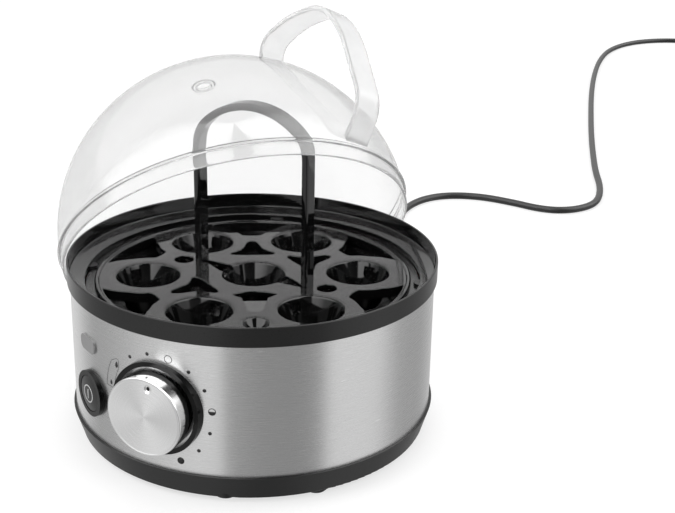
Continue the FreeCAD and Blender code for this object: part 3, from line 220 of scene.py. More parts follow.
def unit(vectors):
    """Vectors brought to length one."""
    return vectors / np.linalg.norm(vectors, axis=-1, keepdims=True)


def carried(section, path, across, closed=False, finish=0):
    """Section of (side, up) points carried along a flat path: side goes along across,

    and up along the path's own normal, which is its tangent turned about across.
    """
    section = np.asarray(section, float)
    path = np.asarray(path, float)
    across = np.asarray(across, float)
    if closed:
        tangent = np.roll(path, -1, axis=0) - np.roll(path, 1, axis=0)
    else:
        tangent = np.gradient(path, axis=0)
    normal = np.cross(unit(tangent), across)
    points = (path[:, None] + section[None, :, :1] * across
              + section[None, :, 1:] * normal[:, None])
    if not closed:
        middle = points.mean(axis=1, keepdims=True)
        ends = np.broadcast_to(middle, points.shape)
        points = np.concatenate([ends[:1], points, ends[-1:]])
    return patch(points, closed, True, finish)


def bar_section(width, thick, corner, steps=5):
    """Rounded rectangle, width along side and thick along up."""
    half_w, half_t = width / 2, thick / 2
    corners = [(-half_w, -half_t), (half_w, -half_t), (half_w, half_t), (-half_w, half_t)]
    return rounded(corners, corner, steps=steps)


def circle(radius, count=48):
    """Points of a circle about zero, anticlockwise."""
    angle = np.linspace(0.0, 2 * math.pi, count, endpoint=False)
    return np.stack([radius * np.cos(angle), radius * np.sin(angle)], axis=-1)


def capped(outline, layer, first, last):
    """Closed bar over a star-shaped outline. layer places its flat points at a level."""
    middle = np.broadcast_to(outline.mean(axis=0), outline.shape)
    rows = [layer(flat, level) for flat, level in
            ((middle, first), (outline, first), (outline, last), (middle, last))]
    return patch(np.stack(rows), False, True)


def piece(name, patches, finishes, body, stands_for=(), soften=True):
    """One mesh object from patches, closed and facing outwards, with its place in its mesh."""
    offsets = np.cumsum([0] + [len(made[0]) for made in patches[:-1]])
    points = np.concatenate([made[0] for made in patches]) * MM
    quads = np.concatenate([made[1] + start for made, start in zip(patches, offsets)])
    which = np.concatenate([np.full(len(made[1]), made[2]) for made in patches])
    mesh = bpy.data.meshes.new(name)
    mesh.from_pydata(points.tolist(), [], quads.tolist())
    mesh.polygons.foreach_set("material_index", which.astype(np.int32))
    for finish in finishes:
        mesh.materials.append(finish)
    cleaned(mesh, 2e-6, 1e-6)
    mesh.polygons.foreach_set("use_smooth", np.ones(len(mesh.polygons), bool))
    made = shown(name, mesh)
    if soften:
        even = made.modifiers.new("even_normals", "WEIGHTED_NORMAL")
        even.keep_sharp = True
    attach(made, body)
    if stands_for:
        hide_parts(*stands_for)
    return made


def spin(angle):
    """Matrix that turns row vectors by an angle in degrees."""
    turn = math.radians(angle)
    return np.array([[math.cos(turn), math.sin(turn)], [-math.sin(turn), math.cos(turn)]])


def turned(points, angle):
    """Points turned about Z by an angle in degrees."""
    return np.column_stack([points[:, :2] @ spin(angle), points[:, 2]])


def on_wall(turn, height):
    """Placing function: +Z comes out of the wall, +Y is up, turn is counted from the front."""
    def place(points):
        x, y, z = points[:, 0], points[:, 1], points[:, 2]
        return turned(np.stack([x, -z, y + height], axis=-1), turn)
    return place


def at(x, y, z=0.0):
    """Placing function: a plain shift."""
    def place(points):
        return points + np.array([x, y, z])
    return place


# Camera


def make_camera():
    """The photograph's camera."""
    data = bpy.data.cameras.new("photo_camera")
    data.lens = CAMERA_LENS
    data.clip_end = 20.0
    made = shown("photo_camera", data)
    made.location = CAMERA_PLACE
    made.rotation_mode = "QUATERNION"
    level = Vector(CAMERA_FORWARD).to_track_quat("-Z", "Y")
    made.rotation_quaternion = level @ Quaternion((0.0, 0.0, 1.0), CAMERA_ROLL)
    bpy.context.scene.camera = made


make_camera()


# Finishes


def feed(tree, node, inputs):
    """Inputs of a node set, or linked where the value is a socket."""
    for socket, value in inputs.items():
        if isinstance(value, bpy.types.NodeSocket):
            tree.links.new(value, node.inputs[socket])
        else:
            node.inputs[socket].default_value = value


def add(tree, kind, inputs=None, **settings):
    """New node with its settings and inputs."""
    made = tree.nodes.new(kind)
    for key, value in settings.items():
        setattr(made, key, value)
    feed(tree, made, inputs or {})
    return made


def blank(name):
    """New material with its node tree and its shader."""
    made = bpy.data.materials.new(name)
    made.use_nodes = True
    return made, made.node_tree, made.node_tree.nodes["Principled BSDF"]


def grey(level):
    """Even colour of a level from 0 to 1."""
    return (level, level, level, 1.0)


def mixed(tree, share, low, high):
    """Colour between two by a share from 0 to 1. Each is a socket, a colour or a grey level."""
    made = add(tree, "ShaderNodeMix", data_type="RGBA")
    tree.links.new(share, made.inputs["Factor"])
    for socket, value in (("A", low), ("B", high)):
        target = [s for s in made.inputs if s.name == socket and s.type == "RGBA"][0]
        if isinstance(value, bpy.types.NodeSocket):
            tree.links.new(value, target)
        else:
            target.default_value = grey(value) if isinstance(value, float) else value
    return [s for s in made.outputs if s.type == "RGBA"][0]


def ranged(tree, value, low, high, into_low, into_high):
    """Value sent from one range into another."""
    return add(tree, "ShaderNodeMapRange", {
        "Value": value, "From Min": low, "From Max": high, "To Min": into_low, "To Max": into_high,
    }).outputs["Result"]


def maths(tree, operation, *values):
    """Result of a maths node whose inputs are values or sockets."""
    return add(tree, "ShaderNodeMath", dict(enumerate(values)), operation=operation).outputs[0]


def noise(tree, place, scale, detail):
    """Cloudy value about a half at each place."""
    return add(tree, "ShaderNodeTexNoise",
               {"Vector": place, "Scale": scale, "Detail": detail}).outputs["Fac"]


def bumped(tree, height, strength, distance):
    """Normal of a surface with a fine relief."""
    return add(tree, "ShaderNodeBump", {"Strength": strength, "Distance": distance,
                                        "Height": height}).outputs["Normal"]


def moulded(name, dark, light, rough, grain, depth, metallic=0.0, specular=0.5, coat=0.0):
    """Plastic, rubber or metal with cloudy colour, fine grain in its gloss and a fine bump."""
    made, tree, shader = blank(name)
    place = add(tree, "ShaderNodeTexCoord").outputs["Object"]
    fine = noise(tree, place, grain, 2.0)
    feed(tree, shader, {
        "Base Color": mixed(tree, noise(tree, place, 45.0, 3.0), dark, light),
        "Roughness": ranged(tree, fine, 0.3, 0.7, rough * 0.9, rough * 1.1),
        "Normal": bumped(tree, fine, depth, 0.0001),
        "Metallic": metallic, "Specular IOR Level": specular, "Coat Weight": coat,
    })
    return made


def lined_metal(tree, shader, tone, rough, normal):
    """Metal with fine lines round a centre, which spread light across themselves."""
    tangent = add(tree, "ShaderNodeTangent", direction_type="UV_MAP", uv_map="around")
    feed(tree, shader, {
        "Base Color": tone, "Roughness": rough, "Normal": normal, "Tangent": tangent.outputs[0],
        "Metallic": 1.0, "Anisotropic": 0.8, "Anisotropic Rotation": 0.25,
    })


def brushed_steel():
    """Steel brushed round the body: thin streaks, long round the axis and short along it."""
    made, tree, shader = blank("brushed_steel")
    place = add(tree, "ShaderNodeTexCoord").outputs["Object"]
    parts = add(tree, "ShaderNodeSeparateXYZ", {"Vector": place})
    angle = maths(tree, "ARCTAN2", parts.outputs["X"], parts.outputs["Y"])
    wrapped = add(tree, "ShaderNodeCombineXYZ", {"X": angle, "Y": parts.outputs["Z"]}).outputs[0]

    def streaks(scale, detail, start=(0.0, 0.0, 0.0)):
        mapped = add(tree, "ShaderNodeMapping",
                     {"Vector": wrapped, "Scale": scale, "Location": start})
        return noise(tree, mapped.outputs[0], 1.0, detail)

    fine = streaks((4.0, 5200.0, 1.0), 3.0)
    coarse = streaks((11.0, 2100.0, 1.0), 2.0)
    rare = streaks((9.0, 900.0, 1.0), 1.0, (3.0, 7.0, 0.0))
    tone = mixed(tree, coarse, 0.57, 0.67)
    scratch = ranged(tree, rare, 0.74, 0.80, 0.0, 0.7)
    lined_metal(tree, shader, mixed(tree, scratch, tone, 0.86),
                ranged(tree, fine, 0.25, 0.75, 0.23, 0.32), bumped(tree, fine, 0.12, 0.00004))
    return made


def spun_aluminium():
    """Aluminium turned on a lathe: rings of fine lines, and soft wedges of painted highlight and
    painted shade in its colour.
    """
    made, tree, shader = blank("spun_aluminium")
    place = add(tree, "ShaderNodeTexCoord").outputs["Object"]
    parts = add(tree, "ShaderNodeSeparateXYZ", {"Vector": place})
    across = parts.outputs["X"]
    up = maths(tree, "SUBTRACT", parts.outputs["Z"], DIAL_Z * MM)
    painted_wedge_light = maths(tree, "SINE", maths(tree, "MULTIPLY", maths(tree, "ARCTAN2", across, up), 3.0))
    squares = maths(tree, "ADD", maths(tree, "POWER", across, 2.0), maths(tree, "POWER", up, 2.0))
    radius = add(tree, "ShaderNodeCombineXYZ", {"X": maths(tree, "SQRT", squares)})
    rings = noise(tree, radius.outputs[0], 4200.0, 2.0)
    # Lighter and darker wedges, three times round the dial centre: painted highlight and painted
    # shade in the base colour, standing in for the reflections of spun metal.
    tone = mixed(tree, ranged(tree, painted_wedge_light, -1.0, 1.0, 0.0, 1.0), 0.70, 0.82)
    lined_metal(tree, shader, tone, ranged(tree, rings, 0.3, 0.7, 0.24, 0.34),
                bumped(tree, rings, 0.1, 0.00003))
    return made


def clear_plastic(name, middle, edge, veil):
    """Clear plastic that darkens towards its edges, veiled by a haze and open to the lamps.

    The veil is the share of each wall that scatters light, both back and through.
    """
    made, tree, shader = blank(name)
    cloud = noise(tree, add(tree, "ShaderNodeTexCoord").outputs["Object"], 30.0, 3.0)
    facing = add(tree, "ShaderNodeLayerWeight", {"Blend": 0.35})
    share = ranged(tree, facing.outputs["Facing"], 0.35, 1.0, 0.0, 1.0)
    feed(tree, shader, {
        "Base Color": mixed(tree, share, middle, edge),
        "Roughness": ranged(tree, cloud, 0.3, 0.7, 0.01, 0.04),
        "IOR": 1.49, "Transmission Weight": 1.0,
    })
    back = add(tree, "ShaderNodeBsdfDiffuse", {"Color": grey(0.90)})
    through = add(tree, "ShaderNodeBsdfTranslucent", {"Color": grey(0.90)})
    haze = add(tree, "ShaderNodeMixShader", {0: 0.5, 1: back.outputs[0], 2: through.outputs[0]})
    thin = ranged(tree, cloud, 0.3, 0.7, veil * 0.9, veil * 1.1)
    veiled = add(tree, "ShaderNodeMixShader", {0: thin, 1: shader.outputs[0],
                                               2: haze.outputs[0]})
    open_way = add(tree, "ShaderNodeBsdfTransparent", {"Color": grey(0.88)})
    path = add(tree, "ShaderNodeLightPath")
    both = add(tree, "ShaderNodeMixShader",
               {0: path.outputs["Is Shadow Ray"], 1: veiled.outputs[0], 2: open_way.outputs[0]})
    tree.links.new(both.outputs[0], tree.nodes["Material Output"].inputs["Surface"])
    return made


BLACK_RING = moulded("ring_black", 0.009, 0.013, 0.30, 2600.0, 0.05, specular=0.38)
BLACK_TRAY = moulded("tray_black", 0.003, 0.005, 0.045, 1300.0, 0.008)
BLACK_BASE = moulded("base_black", 0.009, 0.013, 0.40, 3000.0, 0.10, specular=0.34)
BLACK_TRIM = moulded("trim_black", 0.004, 0.006, 0.16, 2200.0, 0.03, specular=0.22)
BUTTON_GREY = moulded("button_grey", 0.016, 0.022, 0.32, 2600.0, 0.06, specular=0.4)
BOWL_COAT = moulded("bowl_coating", 0.006, 0.012, 0.22, 1900.0, 0.08)
MARK_INK = moulded("mark_ink", 0.012, 0.020, 0.55, 2600.0, 0.05)
SYMBOL_INK = moulded("symbol_ink", 0.74, 0.80, 0.5, 2600.0, 0.05)
LENS_SMOKE = moulded("lens_smoke", 0.22, 0.28, 0.12, 900.0, 0.03, coat=0.5)
CORD_BLACK = moulded("cord_black", 0.012, 0.018, 0.38, 1500.0, 0.10)
FOOT_RUBBER = moulded("foot_rubber", 0.020, 0.030, 0.75, 1800.0, 0.3)
ZINC = moulded("zinc_steel", 0.52, 0.64, 0.36, 700.0, 0.08, metallic=1.0)
BRASS = moulded("pin_nickel", (0.62, 0.60, 0.56, 1.0), (0.70, 0.68, 0.63, 1.0), 0.2, 900.0, 0.03,
                metallic=1.0)
SEAL = moulded("seal_silicone", (0.55, 0.22, 0.16, 1.0), (0.62, 0.27, 0.20, 1.0), 0.6, 1200.0, 0.1)
HEATER = moulded("heater_tube", (0.16, 0.15, 0.14, 1.0), (0.24, 0.22, 0.20, 1.0), 0.5, 800.0, 0.15,
                 metallic=0.8)
PHENOLIC = moulded("phenolic", (0.05, 0.03, 0.02, 1.0), (0.08, 0.05, 0.03, 1.0), 0.5, 900.0, 0.15)
FUSE = moulded("fuse_case", (0.6, 0.55, 0.42, 1.0), (0.7, 0.64, 0.5, 1.0), 0.35, 900.0, 0.05,
               metallic=0.7)
BOARD = moulded("board_green", (0.02, 0.09, 0.03, 1.0), (0.03, 0.13, 0.05, 1.0), 0.45, 600.0, 0.1)
NYLON = moulded("nylon", (0.68, 0.67, 0.62, 1.0), (0.76, 0.75, 0.7, 1.0), 0.5, 900.0, 0.1)
LEAD = moulded("lead_brown", (0.12, 0.05, 0.02, 1.0), (0.17, 0.07, 0.03, 1.0), 0.45, 1200.0, 0.1)
GLOW = moulded("lamp_glass", (0.75, 0.35, 0.2, 1.0), (0.8, 0.42, 0.26, 1.0), 0.15, 700.0, 0.03)
STEEL = brushed_steel()
SPUN = spun_aluminium()
POLISHED = moulded("polished_aluminium", 0.78, 0.84, 0.10, 1800.0, 0.02, metallic=1.0)
CLEAR = clear_plastic("clear_lid", 0.935, 0.62, 0.08)
CLEAR_RIM = clear_plastic("clear_rim", 0.93, 0.60, 0.20)
CLEAR_BEAD = clear_plastic("clear_bead", 0.78, 0.42, 0.10)
CLEAR_STRAP = clear_plastic("clear_strap", 0.96, 0.74, 0.34)


# Cord first


def flex_cord():
    """Tube along a smooth spline whose control points are the cord's route."""
    data = bpy.data.curves.new("flex_cord", "CURVE")
    data.dimensions = "3D"
    spline = data.splines.new("NURBS")
    spline.points.add(len(CORD_ROUTE) - 1)
    for point, place in zip(spline.points, CORD_ROUTE):
        point.co = (*(length * MM for length in place), 1.0)
    spline.order_u = 3
    spline.use_endpoint_u = True
    spline.resolution_u = 10
    data.bevel_depth = CORD_R * MM
    data.bevel_resolution = 5
    data.use_fill_caps = True
    data.materials.append(CORD_BLACK)
    made = shown("flex_cord", data)
    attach(made, "base")
    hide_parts("power_cord")


flex_cord()


# Body


def around_map(made, middle, first, second):
    """UV map whose U runs round a centre, for the grain of brushed and spun metal.

    U is the angle of a corner seen from the middle, kept within half a turn of its face's first
    corner, and V is the distance along the rest. first and second span the plane of turning.
    """
    mesh = made.data
    corners = np.empty(len(mesh.loops), np.int32)
    mesh.loops.foreach_get("vertex_index", corners)
    places = np.empty(len(mesh.vertices) * 3)
    mesh.vertices.foreach_get("co", places)
    places = places.reshape(-1, 3)[corners] - np.array(middle) * MM
    starts = np.empty(len(mesh.polygons), np.int32)
    mesh.polygons.foreach_get("loop_start", starts)
    counts = np.empty(len(mesh.polygons), np.int32)
    mesh.polygons.foreach_get("loop_total", counts)
    along_first = places @ np.array(first)
    along_second = places @ np.array(second)
    angle = np.arctan2(along_second, along_first)
    lead = np.repeat(angle[starts], counts)
    angle = lead + (angle - lead + math.pi) % (2 * math.pi) - math.pi
    rest = places @ np.cross(first, second) + np.hypot(along_first, along_second)
    layer = mesh.uv_layers.new(name="around")
    layer.data.foreach_set("uv", np.stack([angle / (2 * math.pi), rest * 10], axis=-1).ravel())


def steel_band():
    """Thin sleeve, a small rounded rectangle carried round the axis."""
    inner = BAND_R - BAND_WALL
    corners = [(BAND_R, BAND_BOTTOM), (BAND_R, BAND_TOP), (inner, BAND_TOP), (inner, BAND_BOTTOM)]
    made = piece("band_sleeve", [lathe(rounded(corners, 0.12, steps=3), 256)], [STEEL], "base",
                 ["steel_band"])
    around_map(made, (0, 0, 0), (1, 0, 0), (0, 1, 0))
    return made


def ring_and_posts():
    """Lip, sloping ledge, shelf and skirt as one profile round the axis, with its four posts.

    Each corner is an arc of six points, so columns 15 to 53 run from the lip's inner edge to the
    shelf's underside: that part is polished and the rest is satin.
    """
    corners = [
        (RING_R, BAND_TOP), (RING_R, RING_TOP), (96.8, RING_TOP), (96.7, 88.6), (95.0, 88.0),
        (88.7, 86.0), (88.7, 80.6), (85.2, 80.6), (85.2, 78.6), (90.7, 78.6), (90.7, 84.0),
        (93.4, 86.0), (93.4, 74.0), (95.7, 74.0), (95.7, BAND_TOP),
    ]
    radii = [0.3, 0.55, 0.5, 0.7, 0.8, 0.6, 0.4, 0.3, 0.3, 0.4, 0.5, 0.5, 0.4, 0.4, 0.1]
    points, quads, _ = lathe(rounded(corners, radii))
    column = np.arange(len(quads)) % (6 * len(corners))
    inside = (column >= 15) & (column < 54)
    patches = [(points, quads[~inside], 0), (points, quads[inside], 1)]
    post = rounded([(0.01, 14.0), (POST_R, 14.0), (POST_R, 84.2), (0.01, 84.2)],
                   [0, 0.4, 0.2, 0], closed=False)
    for angle in (20.0, 110.0, 200.0, 290.0):
        place = turned(np.array([[POST_PLACE_R, 0.0, 0.0]]), angle)[0]
        patches.append(placed(lathe(post, 32, closed=False), at(*place)))
    made = piece("ring_shell", patches, [BLACK_RING, BLACK_TRAY], "base", ["top_ring"])
    return made


steel_band()
ring_and_posts()


# Tray


def window_outline(angle, count=14):
    """Fan between two outer cups: outer arc, two flanks that follow the cups, inner arc."""
    half = math.radians(17.0)
    outer = np.linspace(-half, half, count)
    cup_places = [np.array([CUP_PLACE_R * math.cos(a), CUP_PLACE_R * math.sin(a)])
                  for a in (math.radians(30.0), math.radians(-30.0))]
    clear = 25.0
    start = np.array([80.5 * math.cos(half), 80.5 * math.sin(half)]) - cup_places[0]
    first = math.atan2(start[1], start[0])
    inner_half = math.radians(9.0)
    end = np.array([55.5 * math.cos(inner_half), 55.5 * math.sin(inner_half)]) - cup_places[0]
    last = math.atan2(end[1], end[0])
    last = last - 2 * math.pi if last > first else last
    flank = np.linspace(first, last, count)[1:-1]
    reach = np.linspace(np.linalg.norm(start), np.linalg.norm(end), count)[1:-1]
    reach = np.maximum(reach, clear)
    left = cup_places[0] + np.stack([reach * np.cos(flank), reach * np.sin(flank)], axis=-1)
    right = left[::-1] * np.array([1.0, -1.0])
    far = np.stack([80.5 * np.cos(outer), 80.5 * np.sin(outer)], axis=-1)
    outline = np.concatenate([far, left, right])
    return outline @ spin(angle)


def smoothed(outline, rounds):
    """Closed outline with its corners cut again and again, each time at a quarter of a side."""
    for _ in range(rounds):
        after = np.roll(outline, -1, axis=0)
        outline = np.stack([0.75 * outline + 0.25 * after, 0.25 * outline + 0.75 * after],
                           axis=1).reshape(-1, 2)
    return outline


def bell_outline(angle):
    """Bell: wide towards the middle cup, hollow flanks along two outer cups, blunt tip."""
    half = np.array([
        (27.6, 0.0), (27.6, 6.0), (27.9, 11.2), (30.6, 12.6), (33.2, 8.6), (37.0, 5.4),
        (42.0, 4.0), (46.4, 3.0), (49.2, 1.4),
    ])
    other = half[1:][::-1] * np.array([1.0, -1.0])
    return smoothed(np.concatenate([half, other]), 2) @ spin(angle)


def middle_opening():
    """Round place of the middle cup, opened on both sides by the slots of the handle's legs."""
    side = math.asin(SLOT_HALF / CUP_HOLE_R)
    over = np.linspace(side, math.pi - side, 40)
    half = CUP_HOLE_R * np.stack([np.cos(over), np.sin(over)], axis=-1)
    half = np.concatenate([half, [(-33.6, SLOT_HALF), (-34.0, SLOT_HALF - 0.4)]])
    return np.concatenate([half, -half])


def dished_opening():
    """Slot with two bowed sides and, from its outer side, a dip that narrows outwards."""
    inner = np.linspace(-1.0, 1.0, 15)[:, None]
    far = np.hstack([28.4 - 3.6 * (1 - inner ** 2), 11.6 * inner])
    outer = np.linspace(1.0, 0.56, 6)[:, None]
    near = np.hstack([28.4 + 6.6 * (1 - outer ** 2), 11.6 * outer])
    dip = np.array([(34.0, 6.3), (36.0, 6.1), (43.0, 4.9), (48.6, 3.9), (50.6, 2.6), (51.0, 0.8)])
    half = np.concatenate([near[1:], dip])
    other = half[::-1] * np.array([1.0, -1.0])
    return np.concatenate([far, half, other]) @ spin(DISH_ANGLE)


def dip_floor():
    """Floor of the dip: a wedge whose top falls evenly from its tip towards the slot."""
    outline = np.array([(33.6, -6.9), (36.0, -6.7), (43.0, -5.5), (49.0, -4.4), (51.3, -3.0),
                        (51.8, 0.0), (51.3, 3.0), (49.0, 4.4), (43.0, 5.5), (36.0, 6.7),
                        (33.6, 6.9)])

    def layer(flat, drop):
        top = PLATE_TOP - 0.12 - 1.5 * (51.8 - flat[:, 0]) / 18.2
        return np.column_stack([flat @ spin(DISH_ANGLE), top - drop])

    return capped(outline, layer, 0.0, 1.4)


def dish():
    """Small round dish near the tray's edge, as one closed profile."""
    corners = [(0.01, 79.0), (4.2, 79.0), (6.6, 83.9), (8.3, 83.9), (8.3, 81.6), (5.4, 77.8),
               (0.01, 77.8)]
    outline = rounded(corners, [0, 1.6, 1.2, 0.3, 0.4, 0.6, 0], closed=False, steps=7)
    place = turned(np.array([[DISH_PLACE_R, 0.0, 0.0]]), DISH_ANGLE)[0]
    return placed(lathe(outline, 64, closed=False), at(*place))


def flat_plate(name, outer, holes, low, high, edge):
    """Plate from flat outlines, with an edge radius all round, as vertices and faces."""
    data = bpy.data.curves.new(name, "CURVE")
    data.dimensions = "2D"
    data.fill_mode = "BOTH"
    for outline, way in [(outer, 1)] + [(hole, -1) for hole in holes]:
        area = (outline[:, 0] * np.roll(outline[:, 1], -1)
                - outline[:, 1] * np.roll(outline[:, 0], -1)).sum()
        ordered = outline if area * way > 0 else outline[::-1]
        spline = data.splines.new("POLY")
        spline.points.add(len(ordered) - 1)
        flat = np.zeros((len(ordered), 4))
        flat[:, :2] = ordered
        flat[:, 3] = 1.0
        spline.points.foreach_set("co", flat.ravel())
        spline.use_cyclic_u = True
    data.extrude = (high - low) / 2 - edge
    data.bevel_depth = edge
    data.bevel_resolution = 3
    data.offset = -edge
    points, faces = taken(shown(name, data))
    bpy.data.curves.remove(data)
    return points + np.array([0.0, 0.0, (low + high) / 2]), faces


def cup_patch():
    """Egg cup: rolled lip, tapering wall and holed foot, as one closed profile."""
    corners = [
        (18.9, 83.9), (16.9, 83.9), (11.3, 67.5), (8.5, 67.5), (8.5, 66.0), (12.3, 66.0),
        (18.2, 80.6), (18.9, 81.6),
    ]
    radii = [0.25, 1.7, 5.0, 0.4, 0.4, 4.0, 1.0, 0.4]
    return lathe(rounded(corners, radii, steps=9), 96)


def prism(outline, start, end):
    """Closed bar along X between two places, from an outline of (y, z) points."""
    return capped(outline, lambda flat, x: np.column_stack([np.full(len(flat), x), flat]),
                  start, end)


def plain_object(name, made):
    """Object from a closed patch, in millimetres and facing outwards, to cut with or into."""
    mesh = bpy.data.meshes.new(name)
    mesh.from_pydata(made[0].tolist(), [], made[1].tolist())
    cleaned(mesh, 2e-3, 1e-3)
    return shown(name, mesh)


def cut_out(made, cutters):
    """Points and faces of a closed patch after other closed patches are cut out of it."""
    whole = plain_object("whole", made)
    tools = [plain_object("tool", cutter) for cutter in cutters]
    for tool in tools:
        step = whole.modifiers.new("cut", "BOOLEAN")
        step.operation = "DIFFERENCE"
        step.solver = "EXACT"
        step.object = tool
    used = [holder.data for holder in [whole] + tools]
    cut = taken(whole)
    for tool in tools:
        bpy.data.objects.remove(tool)
    for mesh in used:
        bpy.data.meshes.remove(mesh)
    return cut


def notch_tool(turn):
    """Bar with a round lower edge that opens a cup's wall under its lip."""
    low = np.linspace(math.pi, 2 * math.pi, 17)
    outline = np.stack([NOTCH_HALF * np.cos(low), 78.0 + NOTCH_HALF * np.sin(low)], axis=-1)
    outline = np.concatenate([outline, [(NOTCH_HALF, NOTCH_TOP), (-NOTCH_HALF, NOTCH_TOP)]])
    bar = prism(outline, 11.0, 20.0)
    return turned(bar[0], turn), bar[1], bar[2]


def egg_cups():
    """Middle cup, open to the handle's slots, and six outer ones with three notches each."""
    ways = np.array([(-SLOT_HALF, 80.5), (SLOT_HALF, 80.5), (SLOT_HALF, 85.0),
                     (-SLOT_HALF, 85.0)])
    cups = [cut_out(cup_patch(), [prism(ways, -22.0, -14.0), prism(ways, 14.0, 22.0)])]
    points, faces = cut_out(cup_patch(), [notch_tool(turn) for turn in (180.0, 60.0, -60.0)])
    for i in range(6):
        cups.append((turned(points + np.array([CUP_PLACE_R, 0.0, 0.0]), 30.0 + 60.0 * i), faces))
    return cups


def window_lip(outline):
    """Lip that hangs from the edge of an opening: a thin bar carried along the outline."""
    path = np.column_stack([outline, np.full(len(outline), 80.6)])
    area = (outline[:, 0] * np.roll(outline[:, 1], -1)
            - outline[:, 1] * np.roll(outline[:, 0], -1)).sum()
    path = path if area > 0 else path[::-1]
    section = bar_section(4.4, 1.0, 0.35, steps=4) + np.array([0.0, 0.5])
    return carried(section, path, (0.0, 0.0, 1.0), closed=True)


def tray():
    """Plate with openings, seven cups, lips under the openings, a dish, raised rim and skirt."""
    places = [np.array([CUP_PLACE_R, 0.0]) @ spin(30.0 + 60.0 * i) for i in range(6)]
    windows = [smoothed(window_outline(DISH_ANGLE + 60.0 * i), 2) for i in range(1, 6)]
    bells = [bell_outline(angle) for angle in (120.0, 60.0, -120.0)]
    dished = smoothed(dished_opening(), 2)
    dish_place = np.array([DISH_PLACE_R, 0.0]) @ spin(DISH_ANGLE)
    holes = [circle(CUP_HOLE_R, 96) + place for place in places] + windows + bells
    holes += [middle_opening(), dished, circle(7.6, 48) + dish_place]
    holes += [circle(STEAM_HOLE_R, 32) + np.array([side * STEAM_PLACE_R, 0.0])
              for side in (-1, 1)]
    plate = flat_plate("tray_plate", circle(82.6, 192), holes, PLATE_BOTTOM, PLATE_TOP, PLATE_EDGE)
    rim = [(81.4, 83.0), (81.4, 84.1), (82.1, 84.7), (83.3, 84.7), (84.0, 84.0), (84.0, 82.9),
           (82.0, 82.9), (81.7, 79.9), (80.7, 79.9), (80.7, 82.6)]
    patches = [lathe(rounded(rim, [0.2, 0.6, 0.5, 0.5, 0.5, 0.3, 0.3, 0.3, 0.3, 0.3])),
               dip_floor(), dish()]
    patches += [window_lip(outline) for outline in windows + bells]
    made = piece("tray_shell", patches, [BLACK_TRAY], "tray", ["egg_tray", "egg_cups"])
    whole = bmesh.new()
    whole.from_mesh(made.data)
    for points, faces in [plate] + egg_cups():
        added = [whole.verts.new(place) for place in (points * MM).tolist()]
        for face in faces:
            if len(set(face)) > 2:
                corners = [added[i] for i in face]
                if whole.faces.get(corners) is None:
                    whole.faces.new(corners)
        bmesh.ops.remove_doubles(whole, verts=added, dist=2e-6)
    bmesh.ops.recalc_face_normals(whole, faces=whole.faces)
    whole.to_mesh(made.data)
    whole.free()
    made.data.polygons.foreach_set("use_smooth", np.ones(len(made.data.polygons), bool))
    made.data.set_sharp_from_angle(angle=math.radians(48.0))
    return made


def tray_arch():
    """Handle: a rounded bar carried up one leg, over two shoulders and a flat crown, and down."""
    half, spring, crown = 32.0, 152.1, 175.7
    corner_r = 18.0
    rise = crown - spring
    crown_r = (rise ** 2 + (half - corner_r) ** 2 - corner_r ** 2) / (2 * (rise - corner_r))
    centre_z = crown - crown_r
    tilt = math.atan2(spring - centre_z, half - corner_r)
    shoulder = np.linspace(0.0, tilt, 14)
    over = np.linspace(tilt, math.pi - tilt, 41)
    right = np.stack([half - corner_r + corner_r * np.cos(shoulder), 0 * shoulder,
                      spring + corner_r * np.sin(shoulder)], axis=-1)
    top = np.stack([crown_r * np.cos(over), 0 * over, centre_z + crown_r * np.sin(over)], axis=-1)
    left = right[::-1] * np.array([-1.0, 1.0, 1.0])
    leg = np.linspace(79.6, spring, 30)[:-1]
    up = np.stack([np.full(29, half), np.zeros(29), leg], axis=-1)
    down = up[::-1] * np.array([-1.0, 1.0, 1.0])
    path = np.concatenate([up, right, top[1:-1], left, down])
    patches = [carried(bar_section(9.6, 3.8, 1.45, steps=7), path, (0.0, 1.0, 0.0))]
    for side in (-1, 1):
        hook = np.array([[side * 31.0, 0.0, 80.8], [side * 37.9, 0.0, 80.8]])
        patches.append(carried(bar_section(7.0, 2.0, 0.4), hook, (0.0, 1.0, 0.0)))
    made = piece("tray_arch", patches, [BLACK_TRAY], "tray", ["tray_handle"])
    return made


tray()
tray_arch()


# Lid


def lid_place():
    """Lean and place of the lid: its low rim clears the band and it rests on the ring."""
    lean = math.radians(LID_LEAN)
    mouth = LID_RIM_R - LID_WALL
    out = BAND_R + 0.3 - mouth * math.cos(lean)
    a = -math.sin(lean) ** 2
    b = 2 * out * math.cos(lean)
    c = out ** 2 + mouth ** 2 - (RING_R + 0.15) ** 2
    along = (-b + math.sqrt(b * b - 4 * a * c)) / (2 * a)
    height = RING_TOP + along * math.sin(lean)
    tilt = np.array(Matrix.Rotation(math.radians(LID_LEAN_DIRECTION), 3, "Z")
                    @ Matrix.Rotation(lean, 3, "Y"))
    heading = math.radians(LID_LEAN_DIRECTION)
    centre = np.array([out * math.cos(heading), out * math.sin(heading), height])

    def place(points):
        return points @ tilt.T + centre
    return place


IN_LID = lid_place()


def quarter(radius, height, start, end, count):
    """Part of an ellipse from the rim up: radius * cos, height * sin above the bead."""
    turn = np.linspace(start, end, count)
    return np.stack([radius * np.cos(turn), LID_BEAD_TOP + height * np.sin(turn)], axis=-1)


